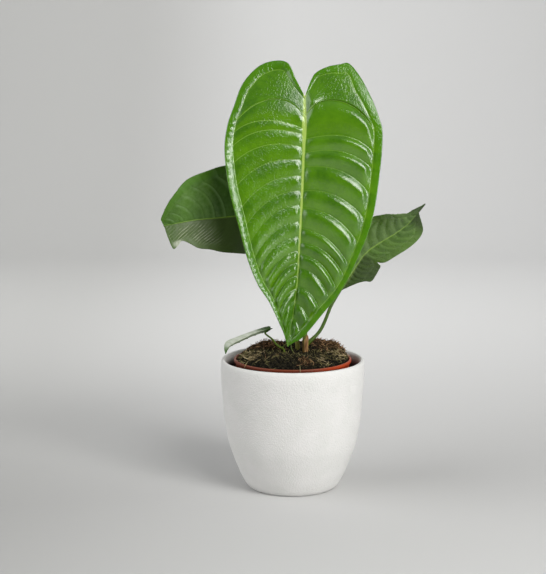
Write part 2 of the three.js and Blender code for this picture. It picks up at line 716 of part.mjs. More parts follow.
// The dry brown sheath that still wraps the front leaf's stalk, open along one side.
const sheathBottom = 134.5;
const sheathHeight = 14;
const sheathThickness = 0.7;
function sheath() {
  const inner = frontLeaf.petiole.radius + 1.5 * gap;
  const outer = inner + sheathThickness;
  const opening = THREE.MathUtils.degToRad(50);
  const facing = THREE.MathUtils.degToRad(200);
  const section = new THREE.Shape();
  section.absarc(0, 0, outer, facing + opening, facing + 2 * Math.PI - opening, false);
  section.absarc(0, 0, inner, facing + 2 * Math.PI - opening, facing + opening, true);
  section.closePath();
  const tube = new THREE.ExtrudeGeometry(section, {
    depth: sheathHeight,
    steps: 3,
    bevelEnabled: false,
    curveSegments: 9,
  });
  tube.translate(12.1, -6.2, sheathBottom);
  return solidOf(tube);
}

addNode("cover_pot", coverPot(), potPaint);
addNode("nursery_pot", nurseryPot(), nurseryPlastic);
addNode("soil", soil(), peat);
addNode("stalk_sheath", sheath(), drySheath);
for (const [name, leaf] of Object.entries(leaves)) {
  const joined = blade(leaf).add(petiole(leaf));
  addNode(name, joined, leaf === frontLeaf || leaf === smallLeaf ? leafGreen : darkLeafGreen);
}

export default plant;
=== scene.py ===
# Potted king anthurium: the looks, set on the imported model. Metres, +Z up, front towards -Y.
import itertools
import json
import math

import bpy
import numpy as np
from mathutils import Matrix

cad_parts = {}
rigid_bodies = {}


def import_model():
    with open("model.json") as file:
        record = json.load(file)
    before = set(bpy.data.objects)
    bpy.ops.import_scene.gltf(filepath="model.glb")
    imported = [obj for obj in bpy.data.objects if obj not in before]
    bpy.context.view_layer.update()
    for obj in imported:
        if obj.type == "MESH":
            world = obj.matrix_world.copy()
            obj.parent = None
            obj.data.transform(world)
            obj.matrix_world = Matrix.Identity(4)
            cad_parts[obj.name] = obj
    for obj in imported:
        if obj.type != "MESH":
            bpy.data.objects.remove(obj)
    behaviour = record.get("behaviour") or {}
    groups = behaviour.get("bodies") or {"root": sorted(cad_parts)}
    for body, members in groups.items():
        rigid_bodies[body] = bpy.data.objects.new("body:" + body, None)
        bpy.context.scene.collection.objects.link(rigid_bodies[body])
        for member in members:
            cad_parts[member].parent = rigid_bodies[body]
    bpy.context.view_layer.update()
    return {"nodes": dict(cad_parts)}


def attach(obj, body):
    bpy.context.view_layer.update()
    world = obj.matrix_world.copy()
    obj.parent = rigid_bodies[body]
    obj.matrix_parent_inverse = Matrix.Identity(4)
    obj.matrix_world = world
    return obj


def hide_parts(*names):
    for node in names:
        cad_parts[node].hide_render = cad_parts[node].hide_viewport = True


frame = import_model()
mm = 0.001
print("frame loaded:", len(frame["nodes"]), "nodes")


def through(values, t):
    # a smooth curve through evenly spaced values, carried on by reflection at both ends
    v = np.asarray(values, float)
    v = np.concatenate([[2 * v[0] - v[1]], v, [2 * v[-1] - v[-2]]])
    spans = len(v) - 3
    x = np.clip(np.asarray(t, float), 0, 1) * spans
    i = np.minimum(x.astype(int), spans - 1)
    f = (x - i).reshape(x.shape + (1,) * (v.ndim - 1))
    a, b, c, d = v[i], v[i + 1], v[i + 2], v[i + 3]
    return b + 0.5 * f * (c - a + f * (2 * a - 5 * b + 4 * c - d + f * (3 * b - a - 3 * c + d)))


def unit(v):
    return v / np.maximum(np.linalg.norm(v, axis=-1, keepdims=True), 1e-12)


def eased(x, low, high):
    t = np.clip((x - low) / (high - low), 0, 1)
    return t * t * (3 - 2 * t)


def rgb(red, green, blue):
    # a colour as a screen shows it, 0 to 255, turned into the light it stands for
    def light(c):
        c = c / 255
        return c / 12.92 if c < 0.04045 else ((c + 0.055) / 1.055) ** 2.4
    return (light(red), light(green), light(blue), 1)


class Signal:
    # one output of a node; arithmetic on it adds Math nodes
    def __init__(self, net, socket):
        self.net = net
        self.socket = socket

    def math(self, operation, *values):
        return self.net.node("ShaderNodeMath", dict(enumerate(values)), operation=operation)

    def __add__(self, other):
        return self.math("ADD", self, other)

    def __sub__(self, other):
        return self.math("SUBTRACT", self, other)

    def __rsub__(self, other):
        return self.math("SUBTRACT", other, self)

    def __mul__(self, other):
        return self.math("MULTIPLY", self, other)

    def __rtruediv__(self, other):
        return self.math("DIVIDE", other, self)

    def __pow__(self, other):
        return self.math("POWER", self, other)

    __radd__ = __add__
    __rmul__ = __mul__


class Net:
    # a node tree made here, one call for each node: its sockets' values or links, and its settings
    def __init__(self, tree):
        self.tree = tree
        tree.nodes.clear()

    def node(self, kind, values=None, out=0, **settings):
        made = self.tree.nodes.new(kind)
        for key, value in settings.items():
            setattr(made, key, value)
        for key, value in (values or {}).items():
            if isinstance(value, Signal):
                self.tree.links.new(value.socket, made.inputs[key])
            else:
                made.inputs[key].default_value = value
        return Signal(self, made.outputs[out]) if made.outputs else None


class Finish(Net):
    # one material and the nodes that make it
    def __init__(self, name):
        self.material = bpy.data.materials.new(name)
        self.material.use_nodes = True
        super().__init__(self.material.node_tree)

    def place(self):
        return self.node("ShaderNodeTexCoord", out="Object")

    def axis(self, name):
        return self.node("ShaderNodeSeparateXYZ", {0: self.place()}, name)

    def stored(self, name):
        return self.node("ShaderNodeAttribute", out="Fac", attribute_name=name)

    def streaks(self, size, squash, detail=4):
        # noise drawn out along the height
        drawn = self.node("ShaderNodeMapping", {"Vector": self.place(), "Scale": (1, 1, squash)})
        return self.noise(size, detail, 0.6, drawn)

    def noise(self, size, detail=3.0, roughness=0.5, place=None):
        values = {"Vector": place or self.place(), "Scale": 1 / size, "Detail": detail}
        return self.node("ShaderNodeTexNoise", {**values, "Roughness": roughness}, "Fac")

    def cells(self, size, feature="F1"):
        values = {"Vector": self.place(), "Scale": 1 / size}
        return self.node("ShaderNodeTexVoronoi", values, "Distance", feature=feature)

    def ramp(self, value, low, high, start=0.0, end=1.0):
        # value is a signal or the name of what is stored on the mesh
        value = self.stored(value) if isinstance(value, str) else value
        values = {"Value": value, "From Min": low, "From Max": high, "To Min": start, "To Max": end}
        return self.node("ShaderNodeMapRange", values, interpolation_type="SMOOTHSTEP")

    def mixed(self, share, first, second, way="MIX"):
        values = {0: share, 6: first, 7: second}
        return self.node("ShaderNodeMix", values, 2, data_type="RGBA", blend_type=way)

    def bump(self, height, depth, strength, under=None):
        values = {"Height": height, "Distance": depth, "Strength": strength}
        if under:
            values["Normal"] = under
        return self.node("ShaderNodeBump", values)

    def surface(self, colour, roughness, normal=None, shine=0.5):
        values = {"Base Color": colour, "Roughness": roughness, "Specular IOR Level": shine}
        if normal:
            values["Normal"] = normal
        self.node("ShaderNodeOutputMaterial", {"Surface": self.node("ShaderNodeBsdfPrincipled", values)})
        return self.material


def addObject(name, data):
    made = bpy.data.objects.new(name, data)
    bpy.context.scene.collection.objects.link(made)
    return made


def meshObject(name, spots, faces=(), edges=(), smooth=False, stored=None):
    mesh = bpy.data.meshes.new(name)
    mesh.from_pydata(np.asarray(spots, float).tolist(), list(edges), list(faces))
    for key, values in (stored or {}).items():
        mesh.attributes.new(key, "FLOAT", "POINT").data.foreach_set("value", np.asarray(values, np.float32))
    mesh.polygons.foreach_set("use_smooth", [smooth] * len(mesh.polygons))
    return addObject(name, mesh)


def gridFaces(rows, columns, ring=False, start=0):
    # the quads between neighbouring rows of corners; each row may close to a ring
    a = start + np.arange(rows * columns).reshape(rows, columns)
    b = np.roll(a, -1, axis=1)
    quads = np.stack([a[:-1], b[:-1], b[1:], a[1:]], -1)
    return quads[:, :columns if ring else columns - 1].reshape(-1, 4).tolist()


def bothSides(faces, count):
    # a sheet's faces, those of its other side, whose corners come count later, and the walls round its margin
    margin = {}
    for face in faces:
        for p, q in zip(face, face[1:] + face[:1]):
            if not margin.pop((q, p), False):
                margin[p, q] = True
    under = [[c + count for c in reversed(face)] for face in faces]
    return faces + under + [[q, p, p + count, q + count] for p, q in margin]


def settle(piece, nodes):
    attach(piece, "root")
    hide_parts(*nodes)


def addPiece(name, spots, faces, material, nodes, stored=None):
    piece = meshObject(name, spots, faces, smooth=True, stored=stored)
    piece.data.materials.append(material)
    settle(piece, nodes)


view = {"place": (-0.0191, -1.433885, 0.426045), "down": 9.06, "lens": 94.08}
camera = addObject("camera", bpy.data.cameras.new("camera"))
camera.data.lens = view["lens"]
camera.data.sensor_width = 36
camera.data.clip_start = 0.05
camera.location = view["place"]
camera.rotation_euler = (math.radians(90 - view["down"]), 0, 0)
bpy.context.scene.camera = camera

softboxes = {
    "keyBox": {"place": (0.88, -1.24, 1.3), "aim": (0, 0, 0.24), "size": (1.1, 0.82), "power": 25,
               "tint": (1, 0.99, 0.97)},
    "sideBox": {"place": (1.25, -1.25, 0.45), "aim": (0, 0, 0.26), "size": (0.42, 0.85), "power": 9.5,
                "tint": (1, 1, 0.99)},
    "fillBox": {"place": (-2.2, -0.6, 1.2), "aim": (0, 0, 0.2), "size": (2.6, 2.2), "power": 32},
    "wallBox": {"place": (-0.2, 0.5, 1.7), "aim": (-0.8, 2.8, 0.95), "size": (2.0, 1.4), "power": 43},
}


def addSoftbox(name, box):
    light = bpy.data.lights.new(name, "AREA")
    light.shape = "RECTANGLE"
    light.size, light.size_y = box["size"]
    light.energy = box["power"]
    light.color = box.get("tint", (1, 1, 1))
    lamp = addObject(name, light)
    lamp.location = box["place"]
    aim = np.array(box["aim"]) - np.array(box["place"])
    tilt = math.atan2(math.hypot(aim[0], aim[1]), -aim[2])
    lamp.rotation_euler = (tilt, 0, math.atan2(-aim[0], aim[1]))


for name, box in softboxes.items():
    addSoftbox(name, box)


def lightRoom():
    # the room is pale behind and above the plant and dark behind the camera
    room = bpy.data.worlds.new("room")
    room.use_nodes = True
    net = Net(room.node_tree)
    way = net.node("ShaderNodeTexCoord", out="Generated")
    depth = net.node("ShaderNodeSeparateXYZ", {0: way}, "Y")
    values = {"Value": depth, "From Min": -0.95, "From Max": 0.4, "To Min": 0.06, "To Max": 0.42}
    light = {"Color": (0.98, 0.99, 1, 1), "Strength": net.node("ShaderNodeMapRange", values)}
    net.node("ShaderNodeOutputWorld", {"Surface": net.node("ShaderNodeBackground", light)})
    bpy.context.scene.world = room
    bpy.context.scene.view_settings.view_transform = "Standard"


lightRoom()

# floor and backdrop are one seamless sheet
# its left tone is a painted shadow and its near tone a painted shade
sweep = {"halfWidth": 4, "front": -3, "bend": 1.6, "radius": 1.2, "top": 4, "steps": 24,
         "left": rgb(178, 178, 176), "right": rgb(203, 203, 202), "near": rgb(100, 100, 100)}


def addSweep():
    turn = np.linspace(0, math.pi / 2, sweep["steps"] + 1)
    wall = sweep["bend"] + sweep["radius"]
    depths = [sweep["front"], *(sweep["bend"] + sweep["radius"] * np.sin(turn)), wall]
    heights = [0, *(sweep["radius"] * (1 - np.cos(turn))), sweep["top"]]
    spots = [(x, y, z) for y, z in zip(depths, heights) for x in (-sweep["halfWidth"], sweep["halfWidth"])]
    sheet = meshObject("sweep", spots, gridFaces(len(depths), 2), smooth=True)
    paper = Finish("paleSweep")
    # painted shade: the paper is painted darker on the left, where the plant's shadow falls, and darker
    # towards the camera, beyond the picture's lower edge, where the room is dark
    pale = paper.mixed(paper.ramp(paper.axis("X"), -0.4, 0.05), sweep["left"], sweep["right"])
    tone = paper.mixed(paper.ramp(paper.axis("Y"), -1.3, -0.5), sweep["near"], pale)
    sheet.data.materials.append(paper.surface(tone, 0.85))


addSweep()
print("camera, lights and sweep made")


# the cover pot, and the nursery pot that stands in it
# the cover pot's inside tone is painted shade
coverPot = {
    "height": 127, "radius": 70, "footRadius": 41.6, "wall": 4.7, "floor": 8, "segments": 240,
    "outside": [[41.6, 0], [45.7, 3.6], [51.3, 14], [55.4, 24], [59.2, 34], [62.7, 45], [65.2, 59],
                [67, 73], [68.4, 90], [69.4, 105], [70, 117]],
    "colour": rgb(221, 221, 218), "speckle": rgb(226, 225, 223), "inside": rgb(88, 74, 67), "pebble": 0.0014,
}
# the nursery pot's lit tone is painted light on its right side; its worn tone is real scuffing and a painted
# highlight on the lip
nurseryPot = {
    "lipRadius": 57.2, "lipTop": 127.5, "lipBand": 3.4, "wall": 1.2, "footRadius": 38, "foot": 8.3,
    "segments": 200, "colour": rgb(104, 42, 22), "paintedLitSide": rgb(184, 66, 26), "wornAndLipHighlight": rgb(150, 84, 58),
}


def turned(name, profile, segments, material, node, stored=None):
    # a profile of radius and height in millimetres, from pole to pole, spun about the pots' axis;
    # what is stored has one number for each point of the profile
    radius, height = np.array(profile, float).T
    turn = np.linspace(0, 2 * math.pi, segments, endpoint=False)
    rings = np.stack([np.outer(radius, np.cos(turn)), np.outer(radius, np.sin(turn)),
                      np.outer(height, np.ones(segments))], -1)[1:-1].reshape(-1, 3)
    faces = gridFaces(len(profile) - 2, segments, ring=True)
    count = len(rings)
    last = count - segments
    for k in range(segments):
        n = (k + 1) % segments
        faces += [(count, n, k), (last + k, last + n, count + 1)]
    spots = np.concatenate([rings, [[0, 0, height[0]], [0, 0, height[-1]]]])
    kept = {key: [*np.repeat(v[1:-1], segments), v[0], v[-1]] for key, v in (stored or {}).items()}
    addPiece(name, spots * mm, faces, material, [node], kept)


def rounded(points, radius, steps=4):
    # the profile with each inner corner turned into a short arc
    points = np.array(points, float)
    made = [points[0]]
    for before, corner, after in zip(points, points[1:], points[2:]):
        toBefore, toAfter = before - corner, after - corner
        reach = min(radius, np.linalg.norm(toBefore) / 2.2, np.linalg.norm(toAfter) / 2.2)
        start = corner + unit(toBefore) * reach
        end = corner + unit(toAfter) * reach
        for t in np.arange(steps + 1) / steps:
            made.append((1 - t) ** 2 * start + 2 * t * (1 - t) * corner + t * t * end)
    return made + [points[-1]]


def potFinish():
    glaze = Finish("matteWhite")
    grain = glaze.cells(coverPot["pebble"]) + 0.6 * glaze.noise(0.0008, 2)
    speckle = glaze.ramp(glaze.noise(0.02, 4), 0.3, 0.7)
    colour = glaze.mixed(speckle, coverPot["colour"], coverPot["speckle"])
    # painted shade: the inside darkens to brown from just below the rim downwards
    colour = glaze.mixed(glaze.ramp("insideDepth", 0.0, 1.0), colour, coverPot["inside"])
    return glaze.surface(colour, 0.62 + 0.08 * speckle, glaze.bump(grain, 0.0004, 0.75), 0.35)


def addCoverPot():
    pot = coverPot
    height, radius, wall = pot["height"], pot["radius"], pot["wall"]
    outside = through(pot["outside"], np.linspace(0, 1, 60)).tolist()
    # the lip's round, inwards from the widest circle and down from the top
    lip = [[0.1, 3.6], [0.5, 1.9], [1.3, 0.6], [2.4, 0], [3.5, 0.5], [4.3, 1.6], [wall, 3.2]]
    rim = [[radius - inwards, height - down] for inwards, down in lip]
    inside = [[r - wall - 0.8 * (z < 40), z] for r, z in reversed(outside) if z > 18]
    floor = [[43.5, pot["floor"] + 2.4], [41, pot["floor"]], [0, pot["floor"]]]
    foot = [[0, 0.4], [pot["footRadius"] - 3, 0.4], [pot["footRadius"] - 2, 0]]
    shown = foot + outside + rim
    # how deep each point lies in the painted shade inside the pot
    depths = [0] * len(shown) + [np.clip((height - 3 - z) / 9, 0, 1) for r, z in inside + floor]
    turned("coverPotShell", shown + inside + floor, pot["segments"], potFinish(), "cover_pot",
           {"insideDepth": depths})


def plasticFinish():
    plastic = Finish("terracottaPlastic")
    scuff = plastic.ramp(plastic.noise(0.004, 5, 0.65), 0.5, 0.72)
    # painted highlight: a paler band along the lip's top edge
    lipHighlight = plastic.ramp(plastic.axis("Z"), 0.1262, 0.1274)
    # painted light: the thin plastic is painted a brighter orange on the right, where the light falls on it
    # and shines through
    paintedLitSide = plastic.ramp(plastic.axis("X"), 0.012, 0.05)
    colour = plastic.mixed(paintedLitSide, nurseryPot["colour"], nurseryPot["paintedLitSide"])
    # the lip's painted highlight and the real random scuffs, both in the worn tone
    colour = plastic.mixed(lipHighlight * 0.4 + scuff * 0.25, colour, nurseryPot["wornAndLipHighlight"])
    grain = plastic.bump(plastic.noise(0.0012, 2), 0.0001, 0.4)
    return plastic.surface(colour, 0.42 + 0.2 * scuff, grain, 0.3)


def addNurseryPot():
    pot = nurseryPot
    lip, top, foot, wall = pot["lipRadius"], pot["lipTop"], pot["foot"], pot["wall"]
    wallTop, middle = top - pot["lipBand"], 66

    def wallSpot(z, inwards=0):
        slope = (lip - 1.4 - pot["footRadius"]) / (wallTop - foot)
        return [pot["footRadius"] + slope * (z - foot) - inwards, z]

    shell = [[0, foot], [pot["footRadius"] - 1.5, foot], [pot["footRadius"], foot + 1.5],
             wallSpot(middle), wallSpot(wallTop), [lip, wallTop + 0.4], [lip, top], [lip - 2.2, top],
             wallSpot(wallTop - 2, wall), wallSpot(middle, wall), wallSpot(foot + 1.5, wall), [0, foot + 1.5]]
    turned("nurseryPotShell", rounded(shell, 0.9), pot["segments"], plasticFinish(), "nursery_pot")


addCoverPot()
addNurseryPot()
print("pots made")


# A half blade is drawn flat, [out from the midrib, along it from the stalk's joint] in millimetres:
# its margin from the notch round the lobe to the tip, the rim outside the edge vein, and the ribs,
# each with its start on the midrib and the margin spot that it arrives at. Then it is bent along the spine.
edgeVein = 0.86
frontLeaf = {
    "spine": [(11.5, 8, 412), (11, -2, 385), (10.7, -9, 357), (9.5, -12, 318), (8, -13.5, 280),
              (6, -14, 240), (4, -14, 205), (0, -14, 172), (-5, -16, 142)],
    "facing": [(0, -1, 0), (0, -1, 0), (0, -1, 0)],
    "lobe": 55, "length": 217, "halfWidth": 77, "quilt": 2.3, "crest": 0.46, "rimLift": 0.4,
    "thickness": 0.9, "ribDepth": 1.9, "fineness": 0.75,
    "wing": [[4, 8, 14, 17, 19], [8, 10, 11, 14, 18]],
    "curl": [[-18, -14, -10, -6, -6], [-16, -12, -12, -10, -10]],
    "halves": [
        {"margin": [[0, -21.5], [9, -38.5], [14.5, -50.5], [22, -55.5], [34, -55], [46.5, -48.5],
                    [59.5, -32.5], [67, -12.5], [73, 8], [75, 31.5], [70, 67], [60, 101.5], [50, 133],
                    [39, 158], [25, 176], [12.5, 195.5], [6, 205.5], [0, 217]],
         "relief": 0.3, "midribRelief": 1.0, "tipRelief": 1.2, "rimTurn": 1.1, "crinkle": 0.14,
         "ribPaleness": 0.6, "swells": [[13, 189, 22, 5]], "rim": [3, 7.4, 10.5, 8, 8, 8, 6.5, 3.8, 0.5],
         "lobeMiddle": [38, -15], "fans": 10, "fanEnd": 7.8,
         "ribs": [[9.5, 8.3], [14.5, 8.9], [26.5, 9.4], [38.5, 10], [53, 10.6], [67, 11.1], [80, 11.6],
                  [96, 12.1], [110.5, 12.5], [124, 13.1], [135.5, 13.6], [148, 14.1], [160.5, 14.6],
                  [172, 15.2], [190, 16.2], [217, 17]]},
        {"margin": [[0, -21.5], [6.5, -39], [11.5, -45.5], [21.5, -50.5], [32.5, -53], [41.5, -54],
                    [51, -43], [59, -28.5], [70, -3], [74, 11.5], [73, 46], [67.5, 93], [54, 134],
                    [43.5, 156.5], [29.5, 179], [13.5, 205], [5, 212.5], [0, 217]],
         "relief": 1.1, "crest": 0.33, "outerRelief": 0.6, "rimTurn": 0.25, "ribPaleness": 0.35,
         "swells": [[7, -15, 8, 3.5]],
         "rim": [3, 5.5, 9.5, 11, 8.5, 7.5, 5, 6.5, 0.5], "lobeMiddle": [38, -18], "fans": 12, "fanEnd": 9,
         "ribs": [[19, 9.6], [32, 10], [45, 10.5], [67.5, 11], [84, 11.5], [103, 12.1], [116, 12.5],
                  [127, 13.1], [140.5, 13.5], [158.5, 14], [175, 14.5], [190, 15], [205, 16.2],
                  [217, 17]]},
    ],
    "stalk": {"route": [[12.6, -7, 118], [12.2, -6.5, 135.1], [12, -6, 151.8], [12.4, 2, 183.8],
                        [13.4, 10, 231.7], [14.3, 14, 280], [13.6, 9.5, 319.1], [12.4, 4, 346]],
              "radius": 2.3, "topRadius": 1.9},
}
leftLeaf = {
    "spine": [(-1.8, 44, 265.1), (-21.6, 38, 263.7), (-39.2, 32, 263.2), (-56.1, 25, 263.2),
              (-75.1, 18, 262.2), (-93.2, 12, 261.3), (-108.5, 7, 259.2), (-124.2, 3, 256.7)],
    "facing": [(-0.1, -1, 0.25), (-0.2, -1, 0.15), (-0.3, -1, 0.1), (-0.5, -1, 0)],
    "lobe": 37, "length": 101, "halfWidth": 44, "quilt": 0.8, "crest": 0.36, "rimLift": 0.1,
    "thickness": 0.8, "ribDepth": 1.3, "fineness": 0.6,
    "wing": [[16, 16, 18, 22, 26], [-6, -4, 2, 6, 10]],
    "curl": [[-14, -14, -12, -8, -8], [-20, -20, -16, -10, -10]],
    "halves": [
        {"margin": [[0, -10], [9, -25], [22, -37], [38, -32], [48, -12], [51, 14], [49.5, 44],
                    [42.5, 70.5], [25, 91.5], [9.5, 102.5], [4.5, 102.8], [0, 101]],
         "rim": [2, 6.5, 7.5, 8.5, 10, 9.5, 6, 2.5, 0.3], "lobeMiddle": [25, -12], "fans": 7, "fanEnd": 5.1,
         "fanLeave": -58, "fanTurn": 44,
         "ribs": [[20.5, 6], [34, 6.7], [46, 7.1], [57.5, 7.5], [68.5, 8], [79, 8.5], [89, 8.9],
                  [95.5, 10], [101, 11]]},
        {"margin": [[0, -10], [8, -24], [18, -33], [29.5, -27], [37, -8], [37.5, 13], [34, 40], [30, 54],
                    [27, 70.5], [18, 84.5], [21.5, 91], [23.5, 96.5], [12, 99.5], [0, 101]],
         "relief": 0.25, "pleat": {"slant": 1.7, "pitch": 5.2, "depth": 0.2, "from": 25, "full": 60},
         "turned": [20, 89.5, 3.4, 6],
         "rim": [2, 5.5, 6, 6.5, 8.5, 9, 6.5, 8, 4, 0.3], "lobeMiddle": [18, -12], "fans": 7, "fanEnd": 5.1,
         "fanLeave": -58, "fanTurn": 44,
         "ribs": [[20.5, 6.2], [34, 7.2], [46, 8.1], [57.5, 8.7], [68.5, 9.2], [79, 10.6], [86.5, 11.4],
                  [93.5, 12.1], [98, 12.6], [101, 13]]},
    ],
    "stalk": {"route": [[5, 5, 118], [4.3, 4, 144.9], [0, 13, 162.1], [-9.7, 25, 194.9],
                        [-21.6, 33, 228.6], [-32, 37.5, 251]], "radius": 2.2, "topRadius": 1.6},
}
rightLeaf = {
    "spine": [(41.3, 44, 178.8), (50.1, 41, 191.4), (57.8, 38, 202.9), (65, 35, 215.2), (74, 31, 228),
              (87.5, 25.5, 238.6), (101.2, 20, 247.9), (111.8, 14.5, 257.3), (119.8, 9, 267.6),
              (127.3, 3, 277.9)],
    "facing": [(0.1, -1, 0.25), (0.2, -1, 0.2), (0.3, -1, 0.1), (0.4, -1, 0)],
    "lobe": 16, "length": 123.5, "halfWidth": 30, "quilt": 0.5, "crest": 0.45, "rimLift": 0.05,
    "thickness": 0.8, "ribDepth": 1.3, "fineness": 0.6,
    "wing": [[4, 6, 8, 16, 24], [16, 16, 16, 20, 24]],
    "curl": [[-10, -10, -12, -8, -8], [-14, -14, -12, -8, -8]],
    "halves": [
        {"margin": [[0, -7], [8.6, 9], [14.6, 15.8], [20.5, 18.8], [21.4, 24.5], [20.8, 33.6],
                    [19.6, 40.5], [14.5, 42.6], [17.4, 47.4], [19.6, 55.5], [19.4, 73], [18.6, 90],
                    [15.6, 99.3], [8.1, 106], [3.8, 109.4], [0.8, 112.2], [0.3, 117], [0, 123.5]],
         "rim": [2, 4.5, 7.5, 6.5, 6, 9, 7.5, 6, 3, 0.3], "fans": 1, "fanEnd": 0,
         "ribs": [[5.5, 0.7], [11, 1.3], [16.5, 2.8], [21, 4], [25, 5], [30, 6.1], [36, 6.9], [43.5, 9.2],
                  [52, 9.9], [61, 10.5], [70, 11], [78, 11.8], [86, 12.7], [94, 13.4], [101, 14.2],
                  [109, 15.3], [123.5, 17]]},
        {"margin": [[0, -7], [8, -14], [17, -16], [25, -7], [29, 7], [28.5, 25], [28, 45], [27.7, 62],
                    [27.5, 77], [26.4, 89], [23.6, 97.6], [19.5, 102.6], [14.3, 105.8], [10.9, 107.3],
                    [7.1, 114.8], [0, 123.5]],
         "rim": [2, 5, 6.5, 8.5, 9.5, 7, 8, 7.5, 4, 0.3], "lobeMiddle": [14, 0], "fans": 7, "fanEnd": 5.4,
         "fanLeave": -30, "fanTurn": 30,
         "ribs": [[17.5, 6.2], [26.5, 6.8], [38, 7.2], [49.5, 7.7], [60.5, 8.3], [71, 9.2], [82, 10.2],
                  [91.5, 11], [100.5, 11.8], [108, 12.6], [116, 13.8], [123.5, 15]]},
    ],
    "stalk": {"route": [[8.6, 9.6, 118], [9.6, 9.5, 127.5], [12.2, 9.4, 135.5], [17.7, 10.2, 142.2],
                        [24.1, 14, 147.9], [28.8, 18, 153.7], [33, 24, 161.6], [38.1, 31, 172.9],
                        [44.4, 38.5, 182.5]],
              "radius": 1.9, "topRadius": 1.5},
}
smallHalf = {"rim": [0.8, 1.2, 1.4, 1.8, 1.6, 0.2], "fans": 5, "fanEnd": 3.3, "fanLeave": -50, "fanTurn": 40,
             "ribs": [[5, 4.2], [13, 5.1], [22, 6], [31, 7], [39, 8], [45, 9], [50.4, 10]]}
smallLeaf = {
    "spine": [(-22.7, -2.5, 154.8), (-31.2, -7.5, 153.6), (-40.8, -12.5, 151), (-50.8, -18, 147.2),
              (-58.9, -22, 144.1), (-62.4, -24.5, 141.3), (-64.6, -27, 136.9)],
    "facing": [(-0.3, -0.2, 1), (-0.3, -0.18, 1), (-0.5, -0.15, 1)],
    "lobe": 3, "length": 50.4, "halfWidth": 8.2, "quilt": 0.35, "crest": 0.45, "rimLift": 0.1,
    "thickness": 0.6, "ribDepth": 0.7, "fineness": 0.5,
    "wing": [[22, 22, 22, 26], [38, 36, 32, 26]],
    "curl": [[-10, -10, -8, -6], [-10, -10, -8, -6]],
    "halves": [
        {"margin": [[0, -1.6], [3.6, -6.4], [7, -7.8], [8, -3], [7, 6], [6.6, 14.5], [8, 24.8], [9.3, 36],
                    [8.8, 40.2], [4.8, 44.5], [0, 50.4]], "lobeMiddle": [4, 0], **smallHalf},
        {"margin": [[0, -1.6], [2.5, -4], [5, -4.5], [7, -1], [7.6, 6], [7.6, 14.5], [7.4, 24.8], [7, 34],
                    [5.5, 40], [3, 45], [0, 50.4]], "lobeMiddle": [3.5, 1], **smallHalf},
    ],
    "stalk": {"route": [[-7, -9, 118], [-8.4, -8.5, 136.5], [-12.1, -8, 139.6], [-16, -8, 142.7],
                        [-19.6, -7.4, 147.2]], "radius": 1.1, "topRadius": 0.8},
}


def rowMarks(half):
    # each row's start on the midrib and the margin spot it arrives at: first the fan, then the ribs
    fans = half["fans"]
    fan = [[0, half["fanEnd"] * k / max(fans - 1, 1)] for k in range(fans)]
    return np.array(fan + half["ribs"], float)


def rowEnds(half, row):
    marks = rowMarks(half)
    last = len(marks) - 1
    start = np.interp(row, np.arange(last + 1), marks[:, 0])
    u = through(marks[:, 1], row / last) / (len(half["margin"]) - 1)
    margin = through(half["margin"], u)
    margin[..., 0] = np.maximum(margin[..., 0], 0)
    midrib = np.stack([np.zeros_like(start), start], -1)
    pole = midrib
    if half["fans"] > 1:
        s = row / (half["fans"] - 1)
        inLobe = eased(s, 0, 0.15) * (1 - eased(s, 0.6, 1))
        pole = midrib + inLobe[..., None] * (np.array(half["lobeMiddle"], float) - midrib)
    vein = margin + through(half["rim"], u)[..., None] * unit(pole - margin)
    vein[..., 0] = np.maximum(vein[..., 0], 0)
    return midrib, margin, vein


ribLeave = [-24, -31, -34, -37, -38]
ribArrive = [38, 27, 22, 19, 8]


def rowAngles(half):
    # the angles at which each row leaves the midrib and meets the edge vein, its arch's fullness,
    # and how strongly the blade puffs up beyond it
    marks = rowMarks(half)
    fans = half["fans"]
    midrib, margin, vein = rowEnds(half, np.arange(len(marks), dtype=float))
    chord = np.degrees(np.arctan2(*(vein - midrib).T[::-1]))
    fanLeave, fanTurn = half.get("fanLeave", -70), half.get("fanTurn", 60)
    angles = []
    for k, along in enumerate(chord):
        if k < fans:
            s = k / max(fans - 1, 1)
            leave = fanLeave - (90 + fanLeave) * (1 - s) ** 3
            arrive = along + fanTurn * eased(s, 0.2, 1.2)
            angles.append([leave, arrive, 0.33 + 0.15 * s, np.clip(4 * s - 3, 0, 1)])
        else:
            s = (k - fans) / (len(marks) - 1 - fans)
            leave, arrive = along + through(ribLeave, s), along + through(ribArrive, s)
            angles.append([leave, arrive, 0.38, 1 - np.clip(4 * s - 3, 0, 1)])
    angles[-1][:2] = angles[-2][:2]
    return np.array(angles, float)


def flatSpots(half, row, share):
    angles = rowAngles(half)
    leave, arrive, fullness = [np.interp(row, np.arange(len(angles)), angles[:, c]) for c in (0, 1, 2)]
    midrib, margin, vein = rowEnds(half, row)
    reach = (np.linalg.norm(vein - midrib, axis=-1) * fullness)[..., None]
    leave, arrive = np.radians(leave), np.radians(arrive)
    first = midrib + reach * np.stack([np.cos(leave), np.sin(leave)], -1)
    second = vein - reach * np.stack([np.cos(arrive), np.sin(arrive)], -1)
    w = np.minimum(share / edgeVein, 1)[..., None]
    arch = (1 - w) ** 3 * midrib + 3 * (1 - w) ** 2 * w * first + 3 * (1 - w) * w * w * second + w ** 3 * vein
    flat = arch + (margin - vein) * (np.maximum(share - edgeVein, 0) / (1 - edgeVein))[..., None]
    flat[..., 0] = np.maximum(flat[..., 0], 0)
    return flat


